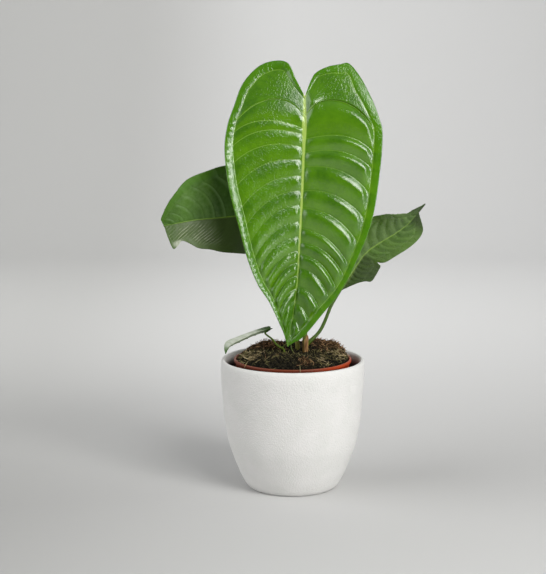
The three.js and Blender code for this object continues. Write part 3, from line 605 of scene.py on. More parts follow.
class Spine:
    # the leaf's midrib in space, measured along its length, and the way the blade faces
    def __init__(self, leaf):
        places = through(leaf["spine"], np.linspace(0, 1, 401))
        steps = np.linalg.norm(np.diff(places, axis=0), axis=1)
        self.lengths = np.concatenate([[0], np.cumsum(steps)])
        self.total = self.lengths[-1]
        self.places = places
        self.ways = unit(np.gradient(places, self.lengths, axis=0))
        self.facings = through(leaf["facing"], self.lengths / self.total)
        self.leaf = leaf

    def bent(self, side, flat):
        leaf = self.leaf
        wanted = (flat[..., 1] + leaf["lobe"]) / (leaf["lobe"] + leaf["length"]) * self.total
        held = np.clip(wanted, 0, self.total)

        def at(values):
            return np.stack([np.interp(held, self.lengths, values[:, k]) for k in range(3)], -1)

        way = unit(at(self.ways))
        place = at(self.places) + (wanted - held)[..., None] * way
        facing = at(self.facings)
        facing = unit(facing - (facing * way).sum(-1, keepdims=True) * way)
        across = np.cross(way, facing)
        wing = np.radians(through(leaf["wing"][side], held / self.total))
        curl = np.radians(through(leaf["curl"][side], held / self.total))
        turn = wing + curl * flat[..., 0] / leaf["halfWidth"]
        out = leaf["halfWidth"] * (np.sin(turn) - np.sin(wing)) / curl
        lift = leaf["halfWidth"] * (np.cos(wing) - np.cos(turn)) / curl
        return place + (1 - 2 * side) * out[..., None] * across + lift[..., None] * facing, facing


# the mesh's columns, as shares of the way from the midrib to the margin
columns = np.concatenate([
    [0, 0.003, 0.006, 0.01, 0.015, 0.022, 0.032, 0.046, 0.065, 0.09], np.arange(0.12, 0.8, 0.03),
    [0.81, 0.828, 0.842, 0.852, edgeVein, 0.868, 0.878, 0.892, 0.91, 0.935, 0.965, 0.985, 1]])
rowsPerFan = 10


def leafRows(leaf):
    # both halves share their stations on the midrib, so that they join without a seam
    starts = np.unique(np.concatenate([rowMarks(half)[:, 0] for half in leaf["halves"]]))
    stations = [0.0]
    for before, after in zip(starts, starts[1:]):
        count = max(1, round((after - before) / leaf["fineness"]))
        stations += (before + (after - before) * np.arange(1, count + 1) / count).tolist()
    rows = []
    for half in leaf["halves"]:
        marks = rowMarks(half)
        fans = half["fans"]
        fan = np.linspace(0, fans - 1, (fans - 1) * rowsPerFan + 1)[:-1]
        ribs = np.interp(stations, marks[fans - 1:, 0], np.arange(fans - 1, len(marks)))
        rows.append(np.concatenate([fan, ribs]))
    return rows


crinklesPerRib = 2.3


def quilting(leaf, half, row, share, x, y, strength):
    # how far the blade stands out between its ribs and in its rolled rim
    fan = row / max(half["fans"] - 1, 1)
    uneven = half.get("relief", 1) * (0.78 + 0.22 * np.sin(2.4 * np.floor(row) + 1))
    uneven = uneven + half.get("midribRelief", 0) * np.exp(-(share / 0.085) ** 2)
    uneven = uneven + half.get("tipRelief", 0) * eased(y / leaf["length"], 0.5, 0.7)
    uneven = uneven + half.get("outerRelief", 0) * eased(share, 0.15, 0.5)
    past = row - np.floor(row)
    crest = half.get("crest", leaf["crest"])
    falling = np.cos(np.pi / 2 * np.maximum(past - crest, 0) / (1 - crest)) ** 1.3
    puff = np.where(past < crest, np.sin(np.pi / 2 * np.minimum(past / crest, 1)), falling)
    puff = puff * eased(share, 0, 0.08) * (1 - eased(share, 0.74, 0.86))
    midrib, margin, vein = rowEnds(half, row)
    rim = np.maximum(0, share - edgeVein) / (1 - edgeVein)
    lobeShare = np.interp(fan, [0, 0.3, 0.45, 0.9, 1.3], [1.5, 1.5, 0.35, 0.35, 1])
    roll = leaf["rimLift"] * half.get("rimTurn", 1) * lobeShare * np.linalg.norm(margin - vein, axis=-1)
    lift = roll * (rim - np.maximum(rim - 0.5, 0) ** 2)
    # the rolled rim is crinkled across, and stays flat at its vein and its margin
    waves = np.sin(2 * np.pi * crinklesPerRib * row + 1.5 * np.sin(1.7 * row))
    crinkle = half.get("crinkle", 0) * (0.35 + 0.65 * eased(fan, 0.5, 0.95))
    lift = lift + crinkle * waves * 4 * rim * (1 - rim)
    groove = np.exp(-((share - edgeVein) / 0.02) ** 2)
    relief = leaf["quilt"] * (strength * uneven * puff - 0.1 * groove) + lift
    for swellX, swellY, reach, height in half.get("swells", []):
        far = (x - swellX) ** 2 + (y - swellY) ** 2
        relief = relief + height * np.exp(-far / reach ** 2) * eased(x, 0, 6)
    return relief


def pleatWave(half, share, x, y):
    # slanting pleats that fan out from the turned margin, strongest towards the tip
    if "pleat" not in half:
        return np.zeros_like(share)
    pleat = half["pleat"]
    wave = np.sin(2 * np.pi * (y - pleat["slant"] * x) / pleat["pitch"] + 1.1 * np.sin(0.11 * y + 0.13 * x))
    reach = (0.25 + 0.75 * eased(y, pleat["from"], pleat["full"])) * (1 - eased(share, edgeVein, 1))
    return wave * eased(share, 0.02, 0.3) * reach


def bladeMesh(leaf):
    spine = Spine(leaf)
    spots, quads, stored = [], [], []
    for side, (half, rows) in enumerate(zip(leaf["halves"], leafRows(leaf))):
        row, share = np.meshgrid(rows, columns, indexing="ij")
        flat = flatSpots(half, row, share)
        x, y = flat[..., 0], flat[..., 1]
        along = y / leaf["length"]
        fan = row / max(half["fans"] - 1, 1)
        angles = rowAngles(half)
        strength = np.interp(row, np.arange(len(angles)), angles[:, 3]) * eased(fan, 0.86, 0.99)
        wave = pleatWave(half, share, x, y)
        relief = quilting(leaf, half, row, share, x, y, strength)
        relief = relief + half.get("pleat", {}).get("depth", 0) * wave
        # the midrib stands out of the upper face and thins towards the tip
        taper = 1 - 0.75 * np.clip(along, 0, 1)
        pastJoint = eased(y, -9, -1)
        girth = leaf["ribDepth"] * (0.35 + 0.65 * taper) * (1 + 0.7 * np.exp(-((y - 6) / 14) ** 2))
        ridge = 0.32 * girth * np.exp(-(x / (0.75 * girth)) ** 2) * pastJoint
        place, facing = spine.bent(side, flat)
        spots.append((place + (relief + ridge)[..., None] * facing).reshape(-1, 3))

        def away(otherRow, otherShare=share):
            return np.linalg.norm(flat - flatSpots(half, otherRow, otherShare), axis=-1)

        near = np.minimum(away(np.floor(row)), away(np.ceil(row)))
        pale = np.where(fan < 1, eased(fan, 0.9, 0.99), 1 - 0.75 * eased(fan, 1, 2.2))
        foldX, foldY, wide, high = half.get("turned", [1e3, 0, 1, 1])
        midribDepth = leaf["ribDepth"] * taper * pastJoint * np.exp(-(x / 1.2) ** 2)
        stored.append({
            "nearRib": near, "paleRib": pale * np.where(fan > 1.05, half.get("ribPaleness", 1), 1),
            "pastRib": strength * (row - np.floor(row)), "midribGirths": x / girth,
            "fromEdgeVein": away(row, np.full_like(share, edgeVein)),
            "rimShare": np.maximum(share - edgeVein, 0) / (1 - edgeVein), "alongLeaf": along,
            "turnedOver": np.exp(-(((x - foldX) / wide) ** 2 + ((y - foldY) / high) ** 2) ** 2),
            "lowerHalf": np.full_like(share, side), "pleats": wave,
            "ribDepth": midribDepth + 0.45 * strength * np.exp(-(near / 0.8) ** 2)})
        faces = np.array(gridFaces(*row.shape, start=sum(map(len, spots[:-1]))))
        quads.append(faces[:, ::-1] if side else faces)
    spots, quads = np.concatenate(spots), np.concatenate(quads)
    # both halves have the midrib's corners, which become one
    keys = np.round(spots / 0.004).astype(int)
    keys, first, which = np.unique(keys, axis=0, return_index=True, return_inverse=True)
    stored = {key: np.concatenate([part[key].ravel() for part in stored])[first] for key in stored[0]}
    return spots[first], stored, which.ravel()[quads]


def tidyFaces(quads):
    # quads that have closed up at the joint or the tip become triangles or go
    faces = []
    for quad in quads.tolist():
        face = [c for k, c in enumerate(quad) if c != quad[k - 1]]
        if len(set(face)) == len(face) and len(face) > 2:
            faces.append(face)
    return faces


def thickened(spots, stored, faces, thickness):
    # the sheet's upper and under faces, joined round the margin; on the under face the ribs stand out
    normals = np.zeros_like(spots)
    for size in (3, 4):
        group = np.array([face for face in faces if len(face) == size]).reshape(-1, size)
        diagonal = np.cross(spots[group[:, 2]] - spots[group[:, 0]], spots[group[:, -1]] - spots[group[:, 1]])
        for k in range(size):
            np.add.at(normals, group[:, k], diagonal)
    normals = unit(normals)
    half = thickness * (1 - 0.5 * eased(stored["rimShare"], 0.3, 1)) / 2
    under = spots - normals * (half + stored.pop("ribDepth"))[:, None]
    return np.concatenate([spots + normals * half[:, None], under]), bothSides(faces, len(spots))


def leafFinish(name, looks):
    leaf = Finish(name)
    otherHalf, under = leaf.stored("lowerHalf"), leaf.stored("underside")
    patches = leaf.ramp(leaf.noise(0.022, 3, 0.55), 0.32, 0.68)
    mottle = leaf.ramp(leaf.noise(0.0032, 4, 0.6), 0.3, 0.7)
    colour = leaf.mixed(patches, looks["dark"], looks["light"])
    # painted sheen: the puffs' crests and, on the back leaves, the slopes just below each rib are painted
    # paler; the pale mottle is the leaf's own
    crestSheenMask = leaf.ramp("pastRib", 0.3, 0.8) * leaf.ramp("pastRib", 0.86, 1.0, 1, 0.3)
    flankSheen = leaf.ramp("pastRib", 0.015, 0.05) * leaf.ramp("pastRib", 0.08, 0.42, 1, 0) * (1 - otherHalf)
    flankSheen = flankSheen * leaf.ramp("alongLeaf", 0.4, 0.7, 1, 0.15)
    paler = crestSheenMask * looks["crestSheen"] + flankSheen * looks["flankSheen"] + 0.2 * mottle
    colour = leaf.mixed(paler, colour, looks["paleToneAndSheen"])
    # painted shade: a little darker along each rib's groove
    colour = leaf.mixed(leaf.ramp("nearRib", 0.0, 1.6, 0.3, 0.0), colour, looks["groove"])
    colour = leaf.mixed(leaf.ramp("rimShare", 0.0, 0.5, 0, 0.6), colour, looks["rim"])
    insideRim = leaf.ramp("rimShare", 0.0, 0.12, 1, 0)
    ribLine = leaf.ramp("nearRib", 0.15, 0.85, 1, 0) * leaf.stored("paleRib") * insideRim
    veinLine = leaf.ramp("fromEdgeVein", 0.15, 0.8, 0.5, 0)
    colour = leaf.mixed((ribLine + veinLine) * looks["ribTone"], colour, looks["vein"])
    spineTone = leaf.ramp("alongLeaf", 0.35, 0.9, 1, looks["spineEnd"])
    colour = leaf.mixed(leaf.ramp("midribGirths", 0.5, 0.95, 1, 0) * spineTone, colour, looks["midrib"])
    # painted sheen: the other half of a back leaf is painted paler and greyer
    colour = leaf.mixed(otherHalf * looks["lowerSheenShare"], colour, looks["lower"])
    # painted sheen: pale streaks along the pleats' crests
    drawn = leaf.ramp("pleats", 0.35, 0.8) * leaf.ramp(leaf.noise(0.009, 3, 0.55), 0.4, 0.62, 0.15, 1)
    colour = leaf.mixed(drawn * looks["pleatSheenShare"], colour, looks["pleatSheenTint"])
    shade = looks["shade"]
    shaded = leaf.ramp("alongLeaf", 0.3, 0.37, shade, 0) + leaf.ramp("alongLeaf", 0.74, 0.84, 0, shade)
    colour = leaf.mixed(shaded * (1 - otherHalf), colour, looks["shadeTint"], "MULTIPLY")
    colour = leaf.mixed(under * 0.85, colour, looks["back"])
    # the base and tip take the ends' tone: darker towards the tip on the front leaf, painted shade over the
    # right leaf's folded tip, and the small leaf's own green beyond its painted reflection
    atBase = leaf.ramp("alongLeaf", -0.02, looks["baseReach"], looks["atBase"], 0)
    colour = leaf.mixed(atBase + leaf.ramp("alongLeaf", 0.8, 0.95, 0, looks["atTip"]), colour, looks["ends"])
    # a margin that curls over shows the pale, streaky under face
    streaks = leaf.ramp(leaf.streaks(0.0012, 0.35, 3), 0.35, 0.65, 0.55, 1)
    colour = leaf.mixed(leaf.stored("turnedOver") * streaks, colour, looks["turnedTint"])
    # the blade is uneven and finely netted, calmer on its lobes
    uneven = leaf.noise(0.0045, 3, 0.6) * (1 - otherHalf * looks["calm"])
    uneven = uneven * leaf.ramp("alongLeaf", -0.1, 0.1, 0.5, 1)
    network = leaf.ramp(leaf.cells(0.0026, "DISTANCE_TO_EDGE"), 0.0, 0.14)
    grain = network * 0.5 + leaf.noise(0.0014, 3, 0.6) * 0.9
    relief = leaf.bump(grain, looks["grain"], 0.8, leaf.bump(uneven, looks["pucker"], 0.8))
    gloss = leaf.ramp(leaf.noise(0.005, 4, 0.65), 0.3, 0.75, *looks["gloss"])
    return leaf.surface(colour, gloss + under * 0.2, relief, looks["shine"])


# what most of the leaves share, and then each leaf's own tones, painted sheen and shade, and gloss
leafLooks = {"lower": rgb(96, 120, 66), "pleatSheenTint": rgb(140, 148, 118), "shadeTint": rgb(166, 168, 146),
             "turnedTint": rgb(196, 200, 182), "lowerSheenShare": 0, "pleatSheenShare": 0, "flankSheen": 0, "atBase": 0,
             "baseReach": 0.1, "shade": 0, "spineEnd": 0.8, "crestSheen": 0.4, "calm": 0, "grain": 0.0001}
frontLooks = {**leafLooks, "dark": rgb(54, 102, 4), "light": rgb(76, 126, 6), "paleToneAndSheen": rgb(98, 146, 12),
              "groove": rgb(52, 100, 2), "rim": rgb(72, 128, 0), "vein": rgb(144, 186, 70),
              "midrib": rgb(166, 194, 92), "back": rgb(116, 146, 84), "ends": rgb(60, 110, 10), "atTip": 0.4,
              "spineEnd": 0.25, "ribTone": 0.8, "gloss": (0.1, 0.2), "calm": 0.25, "pucker": 0.00045,
              "shine": 0.88}
leftLooks = {**leafLooks, "dark": rgb(50, 88, 8), "light": rgb(68, 108, 16), "paleToneAndSheen": rgb(116, 152, 86),
             "groove": rgb(42, 78, 8), "rim": rgb(74, 122, 12), "vein": rgb(100, 138, 48),
             "midrib": rgb(130, 168, 60), "back": rgb(112, 132, 88), "ends": rgb(58, 96, 14), "atTip": 0.3,
             "lower": rgb(76, 92, 48), "lowerSheenShare": 0.8, "pleatSheenShare": 0.8, "flankSheen": 0.8, "crestSheen": 0.15,
             "ribTone": 0.3, "gloss": (0.36, 0.48), "pucker": 0.0002, "shine": 0.35}
# the right leaf's ends tone is painted shade over its folded tip
rightLooks = {**leafLooks, "dark": rgb(64, 102, 24), "light": rgb(92, 130, 42), "paleToneAndSheen": rgb(122, 152, 86),
              "groove": rgb(66, 98, 30), "rim": rgb(90, 124, 48), "vein": rgb(118, 150, 76),
              "midrib": rgb(138, 174, 76), "back": rgb(112, 132, 88), "ends": rgb(44, 66, 18), "atTip": 0.85,
              "lowerSheenShare": 0.2, "flankSheen": 0.45, "shade": 1, "ribTone": 0.5, "gloss": (0.24, 0.38),
              "grain": 0.00012, "pucker": 0.0003, "shine": 0.6}
# painted reflection: the small leaf's blade is painted pale grey-green for the bright room that its glossy
# face reflects; only its base and tip keep the leaf's green
smallPaintedSheenLooks = {**leafLooks, "dark": rgb(160, 170, 148), "light": rgb(196, 202, 188),
              "paleToneAndSheen": rgb(212, 216, 206), "groove": rgb(150, 164, 136), "rim": rgb(176, 186, 164),
              "vein": rgb(140, 160, 118), "midrib": rgb(132, 154, 104), "back": rgb(160, 174, 146),
              "ends": rgb(54, 96, 8), "atTip": 0.95, "atBase": 1, "baseReach": 0.24, "spineEnd": 1,
              "ribTone": 0.3, "gloss": (0.3, 0.5), "pucker": 0.0001, "shine": 0.3}


def addBlade(name, leaf, material, node):
    spots, stored, quads = bladeMesh(leaf)
    solid, faces = thickened(spots, stored, tidyFaces(quads), leaf["thickness"])
    stored = {key: np.tile(values, 2) for key, values in stored.items()}
    stored["underside"] = np.repeat([0, 1], len(spots))
    addPiece(name, solid * mm, faces, material, [node], stored)
    print(name, "has", 2 * len(faces), "triangles at most")


class Tree(Net):
    # a Geometry Nodes tree; each named input has its kind of socket and its first value
    def __init__(self, name, inputs):
        super().__init__(bpy.data.node_groups.new(name, "GeometryNodeTree"))
        face = self.tree.interface
        self.ids = {}
        named = {"Geometry": ("Geometry", None), **inputs, "Material": ("Material", None)}
        for key, (kind, value) in named.items():
            item = face.new_socket(key, in_out="INPUT", socket_type="NodeSocket" + kind)
            if value is not None:
                item.default_value = value
            self.ids[key] = item.identifier
        face.new_socket("Geometry", in_out="OUTPUT", socket_type="NodeSocketGeometry")
        self.start = self.tree.nodes.new("NodeGroupInput")

    def input(self, key):
        return Signal(self, self.start.outputs[key])

    def stored(self, name):
        return self.node("GeometryNodeInputNamedAttribute", {"Name": name}, data_type="FLOAT")

    def finish(self, geometry):
        real = self.node("GeometryNodeRealizeInstances", {0: geometry})
        made = self.node("GeometryNodeSetMaterial", {0: real, "Material": self.input("Material")})
        self.node("NodeGroupOutput", {0: made})
        return self

    def run(self, name, source, values, slotName, nodes):
        modifier = source.modifiers.new("shape", "NODES")
        modifier.node_group = self.tree
        for key, value in values.items():
            modifier[self.ids[key]] = value
        depsgraph = bpy.context.evaluated_depsgraph_get()
        mesh = bpy.data.meshes.new_from_object(source.evaluated_get(depsgraph))
        source.modifiers.remove(modifier)
        mesh.name = name
        piece = addObject(name, mesh)
        settle(piece, nodes)
        print(name, "has", sum(len(p.vertices) - 2 for p in mesh.polygons), "triangles")
        return piece


def tubeTree():
    # a tube along each route, as thick as the width stored on it
    tree = Tree("tubeTree", {"Sides": ("Int", 14)})
    curve = tree.node("GeometryNodeMeshToCurve", {0: tree.input("Geometry")})
    ring = tree.node("GeometryNodeCurvePrimitiveCircle", {"Resolution": tree.input("Sides"), "Radius": 1.0})
    values = {"Curve": curve, "Profile Curve": ring, "Scale": tree.stored("width"), "Fill Caps": True}
    tube = tree.node("GeometryNodeCurveToMesh", values)
    return tree.finish(tree.node("GeometryNodeSetShadeSmooth", {0: tube}))


tubes = tubeTree()


def addTubes(name, routes, widths, sides, material, slotName, node):
    # routes in millimetres, each with as many spots as there are widths
    count = len(widths)
    edges = [(k, k + 1) for k in range(len(routes) * count - 1) if (k + 1) % count]
    stored = {"width": np.tile(widths, len(routes)) * mm}
    source = meshObject(name + "Route", np.concatenate(routes) * mm, edges=edges, stored=stored)
    tubes.run(name, source, {"Sides": sides, "Material": material}, slotName, [node])
    bpy.data.objects.remove(source)


def stalkFinish(name, low, high, turnsAt):
    stalk = Finish(name)
    streaks = stalk.streaks(0.0014, 0.12)
    colour = stalk.mixed(stalk.ramp(stalk.axis("Z"), *turnsAt), low, high)
    colour = stalk.mixed(stalk.ramp(streaks, 0.45, 0.75, 0, 0.2), colour, rgb(136, 142, 66))
    return stalk.surface(colour, 0.42 + 0.2 * streaks, stalk.bump(streaks, 0.00012, 0.5), 0.3)


def addStalk(name, leaf, material, slotName, node):
    # the stalk bends over at its top and sinks a little into the blade's back at the joint
    stalk = leaf["stalk"]
    top = stalk["topRadius"]
    joint, facing = Spine(leaf).bent(0, np.array([[0.0, 1.5 * top]]))
    route = np.concatenate([stalk["route"], joint - 3.2 * top * facing, joint - 0.2 * facing])
    t = np.linspace(0, 1, 120)
    widths = stalk["radius"] + (top - stalk["radius"]) * t + 0.3 * top * np.exp(-((t - 0.93) / 0.06) ** 2)
    addTubes(name, [through(route, t)], widths, 14, material, slotName, node)


# each leaf's slot, and its stalk's tones low and high and the heights where they meet
leafPieces = [
    ("front", frontLeaf, frontLooks, "leaf", rgb(112, 84, 34), rgb(84, 118, 34), (0.134, 0.162)),
    ("left", leftLeaf, leftLooks, "dark_leaf", rgb(128, 126, 58), rgb(66, 98, 12), (0.145, 0.175)),
    ("right", rightLeaf, rightLooks, "dark_leaf", rgb(78, 92, 16), rgb(56, 86, 2), (0.13, 0.15)),
    ("small", smallLeaf, smallPaintedSheenLooks, "leaf", rgb(104, 118, 36), rgb(84, 112, 24), (0.13, 0.15)),
]
for key, leaf, looks, slotName, low, high, turnsAt in leafPieces:
    addBlade(key + "Blade", leaf, leafFinish(key + "LeafGreen", looks), "leaf_" + key)
    green = stalkFinish(key + "StalkGreen", low, high, turnsAt)
    addStalk(key + "Stalk", leaf, green, slotName, "leaf_" + key)
print("leaves and stalks made")


soilBed = {
    "edgeRadius": 54.4, "edgeHeight": 125.2, "dome": 8.4, "backRise": 4, "ripple": 0.75, "litterRadius": 53,
    "rings": 100, "segments": 260, "skirtHeight": 100.0, "skirtShare": 0.97, "lumpSize": 0.0042,
    "lumpDepth": 0.005, "dark": rgb(4, 5, 4), "light": rgb(30, 27, 19), "coirTint": rgb(108, 76, 48),
    "lumps": [(-25, 20, 3.2, 7), (-41, 26, 2.2, 11), (23, 21, 4.8, 8), (42, 20, 6.6, 11), (51, 8, 3.4, 7),
              (10, -34, 2.2, 7), (-30, -16, 1.8, 11), (38, -14, 2, 9), (-8, -26, 1.4, 8), (1, -11, -1.6, 6),
              (28, -16, -3.4, 4.5)],
}


def soilHeight(x, y):
    soil = soilBed
    r = np.hypot(x, y) / soil["edgeRadius"]
    z = soil["edgeHeight"] + soil["dome"] * (1 - r ** 5) + soil["backRise"] * eased(y, -8, 20) * (1 - r ** 4)
    for lumpX, lumpY, height, reach in soil["lumps"]:
        z = z + height * np.exp(-((x - lumpX) ** 2 + (y - lumpY) ** 2) / reach ** 2)
    ripple = np.sin(0.52 * x + 1.3) * np.sin(0.47 * y + 0.4) + 0.6 * np.sin(0.91 * x - 0.83 * y)
    return z + soil["ripple"] * ripple * (1 - r ** 4)


def roughTree():
    # crumbly relief pushed up and down over the bed, and none where it is not free
    tree = Tree("roughTree", {"Size": ("Float", 0.004), "Depth": ("Float", 0.002)})
    values = {"Scale": 1 / tree.input("Size"), "Detail": 4.0, "Roughness": 0.62}
    lift = (tree.node("ShaderNodeTexNoise", values) - 0.5) * tree.stored("free") * tree.input("Depth")
    values = {"Geometry": tree.input("Geometry"), "Offset": tree.node("ShaderNodeCombineXYZ", {"Z": lift})}
    return tree.finish(tree.node("GeometryNodeSetPosition", values))


def soilSheet():
    # the bed's surface as rings, with its skirt going down inside the nursery pot
    shares = np.linspace(0, 1, soilBed["rings"]) ** 0.8
    segments, low, drawnIn = soilBed["segments"], soilBed["skirtHeight"], soilBed["skirtShare"]
    turn = np.linspace(0, 2 * math.pi, segments, endpoint=False)
    x = np.outer(shares, np.cos(turn)) * soilBed["edgeRadius"]
    y = np.outer(shares, np.sin(turn)) * soilBed["edgeRadius"]
    z = soilHeight(x, y)
    skirt = np.stack([x[-1] * drawnIn, y[-1] * drawnIn, np.full(segments, low)], -1)
    bed = np.stack([x, y, z], -1)[1:].reshape(-1, 3)
    spots = np.concatenate([bed, skirt, [[0, 0, low], [0, 0, z[0, 0]]]])
    rings = len(shares)
    faces = []
    bottom, top = len(spots) - 2, len(spots) - 1
    for k in range(segments):
        n = (k + 1) % segments
        faces.append((top, k, n))
        for i in range(rings - 1):
            faces.append((i * segments + k, (i + 1) * segments + k, (i + 1) * segments + n, i * segments + n))
        faces.append(((rings - 1) * segments + k, bottom, (rings - 1) * segments + n))
    # the bed is free to be rough, and less so towards the pot
    free = np.repeat(1 - 0.75 * eased(shares[1:], 0.9, 1), segments)
    return spots * mm, faces, np.concatenate([free, np.zeros(segments + 1), [1]])


def peatFinish(name, dark, light, size=0.003, loose=False):
    peat = Finish(name)
    lumps = peat.ramp(peat.noise(size, 5, 0.65), 0.36, 0.74)
    if loose:
        # each loose bit has a tone of its own, more of them dark than pale
        share = peat.stored("tone") ** 2.6 * 0.85 + 0.15 * lumps
    else:
        share = lumps * 0.75 + peat.ramp(peat.noise(0.014, 2), 0.35, 0.65) * 0.25
    # where coir lies the peat is mixed with reddish fibre
    coir = peat.stored("coir") * (0.1 + 0.6 * lumps)
    colour = peat.mixed(coir, peat.mixed(share, dark, light), soilBed["coirTint"])
    return peat.surface(colour, 0.92, peat.bump(peat.noise(0.0009, 4, 0.7), 0.0006, 0.8), 0.15)


fullTurn = 6.283


def scatterTree():
    # copies of one small shape, dropped on the bed where the named share allows, each turned its own way
    tree = Tree("scatterTree", {
        "Shape": ("Object", None), "Share": ("String", "everywhere"), "Density": ("Float", 1e5),
        "Seed": ("Int", 0), "Smallest": ("Float", 0.5), "Largest": ("Float", 1.0), "Lean": ("Float", 1.0),
        "Lift": ("Float", 0.0)})
    seed, lean = tree.input("Seed"), tree.input("Lean")
    density = tree.stored(tree.input("Share")) * tree.input("Density")
    points = tree.node("GeometryNodeDistributePointsOnFaces",
                       {"Mesh": tree.input("Geometry"), "Density": density, "Seed": seed})
    shape = tree.node("GeometryNodeObjectInfo", {"Object": tree.input("Shape")}, "Geometry")
    low = tree.node("ShaderNodeCombineXYZ", {"X": lean * -1, "Y": lean * -1})
    high = tree.node("ShaderNodeCombineXYZ", {"X": lean, "Y": lean, "Z": fullTurn})
    turn = tree.node("FunctionNodeRandomValue", {0: low, 1: high, "Seed": seed}, data_type="FLOAT_VECTOR")
    sizes = {2: tree.input("Smallest"), 3: tree.input("Largest"), "Seed": seed}
    size = tree.node("FunctionNodeRandomValue", sizes, 1, data_type="FLOAT")
    placed = tree.node("GeometryNodeInstanceOnPoints",
                       {"Points": points, "Instance": shape, "Rotation": turn, "Scale": size})
    tone = tree.node("FunctionNodeRandomValue", {"Seed": seed}, 1, data_type="FLOAT")
    toned = tree.node("GeometryNodeStoreNamedAttribute", {"Geometry": placed, "Name": "tone", "Value": tone},
                      data_type="FLOAT", domain="INSTANCE")
    lift = tree.node("ShaderNodeCombineXYZ", {"Z": tree.input("Lift")})
    return tree.finish(tree.node("GeometryNodeSetPosition", {"Geometry": toned, "Offset": lift}))


def crumbShape():
    # a small angular crumb, a little under a millimetre across
    source = np.random.default_rng(5)
    a, b = 0.5257, 0.8507
    spots = np.array([(-a, b, 0), (a, b, 0), (-a, -b, 0), (a, -b, 0), (0, -a, b), (0, a, b),
                      (0, -a, -b), (0, a, -b), (b, 0, -a), (b, 0, a), (-b, 0, -a), (-b, 0, a)])
    # each three neighbours make a face, turned so that it points outwards
    faces = []
    for three in itertools.combinations(range(12), 3):
        corners = spots[list(three)]
        if max(np.linalg.norm(corners - np.roll(corners, 1, axis=0), axis=1)) < 1.1:
            faces.append(three if np.linalg.det(corners) > 0 else three[::-1])
    return meshObject("crumbShape", spots * source.uniform(0.6, 1.1, (12, 1)) * mm * 0.5, faces)


def strandShape(kind, seed):
    # a thin curly strand about its own middle, mostly lying down
    sides, steps, wander = 3, 9, kind["wander"]
    source = np.random.default_rng(seed)
    heading = np.cumsum(source.uniform(-wander, wander, steps))
    climb = np.cumsum(source.uniform(-wander, wander, steps)) * 0.35
    climb -= climb.mean()
    ways = np.stack([np.cos(heading) * np.cos(climb), np.sin(heading) * np.cos(climb), np.sin(climb)], -1)
    path = np.cumsum(ways, axis=0) * kind["length"] / (steps - 1)
    path -= path.mean(0)
    beside = unit(np.cross(ways, [0, 0, 1.0]))
    above = np.cross(ways, beside)
    width = kind["radius"] * (0.35 + 0.65 * np.sin(math.pi * np.linspace(0.04, 0.96, steps)) ** 0.5)
    turn = (2 * math.pi * np.arange(sides) / sides)[None, :, None]
    around = beside[:, None] * np.cos(turn) + above[:, None] * np.sin(turn)
    rings = path[:, None] + width[:, None, None] * around
    corners = list(range(steps * sides))
    faces = [corners[:sides][::-1], corners[-sides:], *gridFaces(steps, sides, ring=True)]
    return meshObject("strandShape", rings.reshape(-1, 3) * mm, faces)


def patch(x, y, places):
    # where a kind of litter lies: 1 at the middle of each place, fading over its reach
    made = np.zeros_like(x)
    for placeX, placeY, reach, amount in places:
        made = np.maximum(made, amount * np.exp(-((x - placeX) ** 2 + (y - placeY) ** 2) / reach ** 2))
    return made


litter = [
    # density is for a square metre, size is a scale, lean is in radians and lift in metres;
    # a strand's length and radius are in millimetres
    {"name": "peatCrumb", "share": "everywhere", "density": 5e5, "size": (0.8, 3.0), "lean": 3.1,
     "lift": 0.0002, "dark": rgb(4, 4, 3), "light": rgb(50, 46, 33)},
    {"name": "mossStrand", "share": "mossy", "density": 1.4e5, "size": (0.6, 1.5), "lean": 0.8,
     "lift": 0.0004, "dark": rgb(12, 14, 8), "light": rgb(142, 134, 88), "strands": [3, 4, 5],
     "length": 7.5, "radius": 0.18, "wander": 0.8},
    {"name": "coirFibre", "share": "coir", "density": 2.6e5, "size": (0.5, 1.3), "lean": 1.0,
     "lift": 0.001, "dark": rgb(52, 36, 22), "light": rgb(190, 150, 110), "strands": [8, 9],
     "length": 7, "radius": 0.26, "wander": 0.6},
    {"name": "strawStrand", "share": "straw", "density": 9e4, "size": (0.6, 1.3), "lean": 0.5,
     "lift": 0.0012, "dark": rgb(96, 82, 50), "light": rgb(222, 204, 160), "strands": [11, 12],
     "length": 12, "radius": 0.23, "wander": 0.5},
]
patches = {
    # where each kind of litter lies: x, y and reach in millimetres, and how thickly
    "mossy": [(-15, -20, 24, 0.4), (15, -25, 24, 0.35), (-40, -5, 13, 0.9), (34, -12, 14, 1),
              (0, 10, 18, 0.2)],
    "coir": [(-21, 16, 10, 1), (-34, 14, 8, 0.6), (26, 24, 12, 0.9), (44, 16, 10, 1), (30, 4, 8, 0.3),
             (12.7, -41, 4.5, 1)],
    "straw": [(44, -10, 10, 1), (-46, -8, 9, 0.9), (-38, -24, 9, 0.6), (24, -36, 10, 0.4), (50, 2, 6, 0.8)],
}
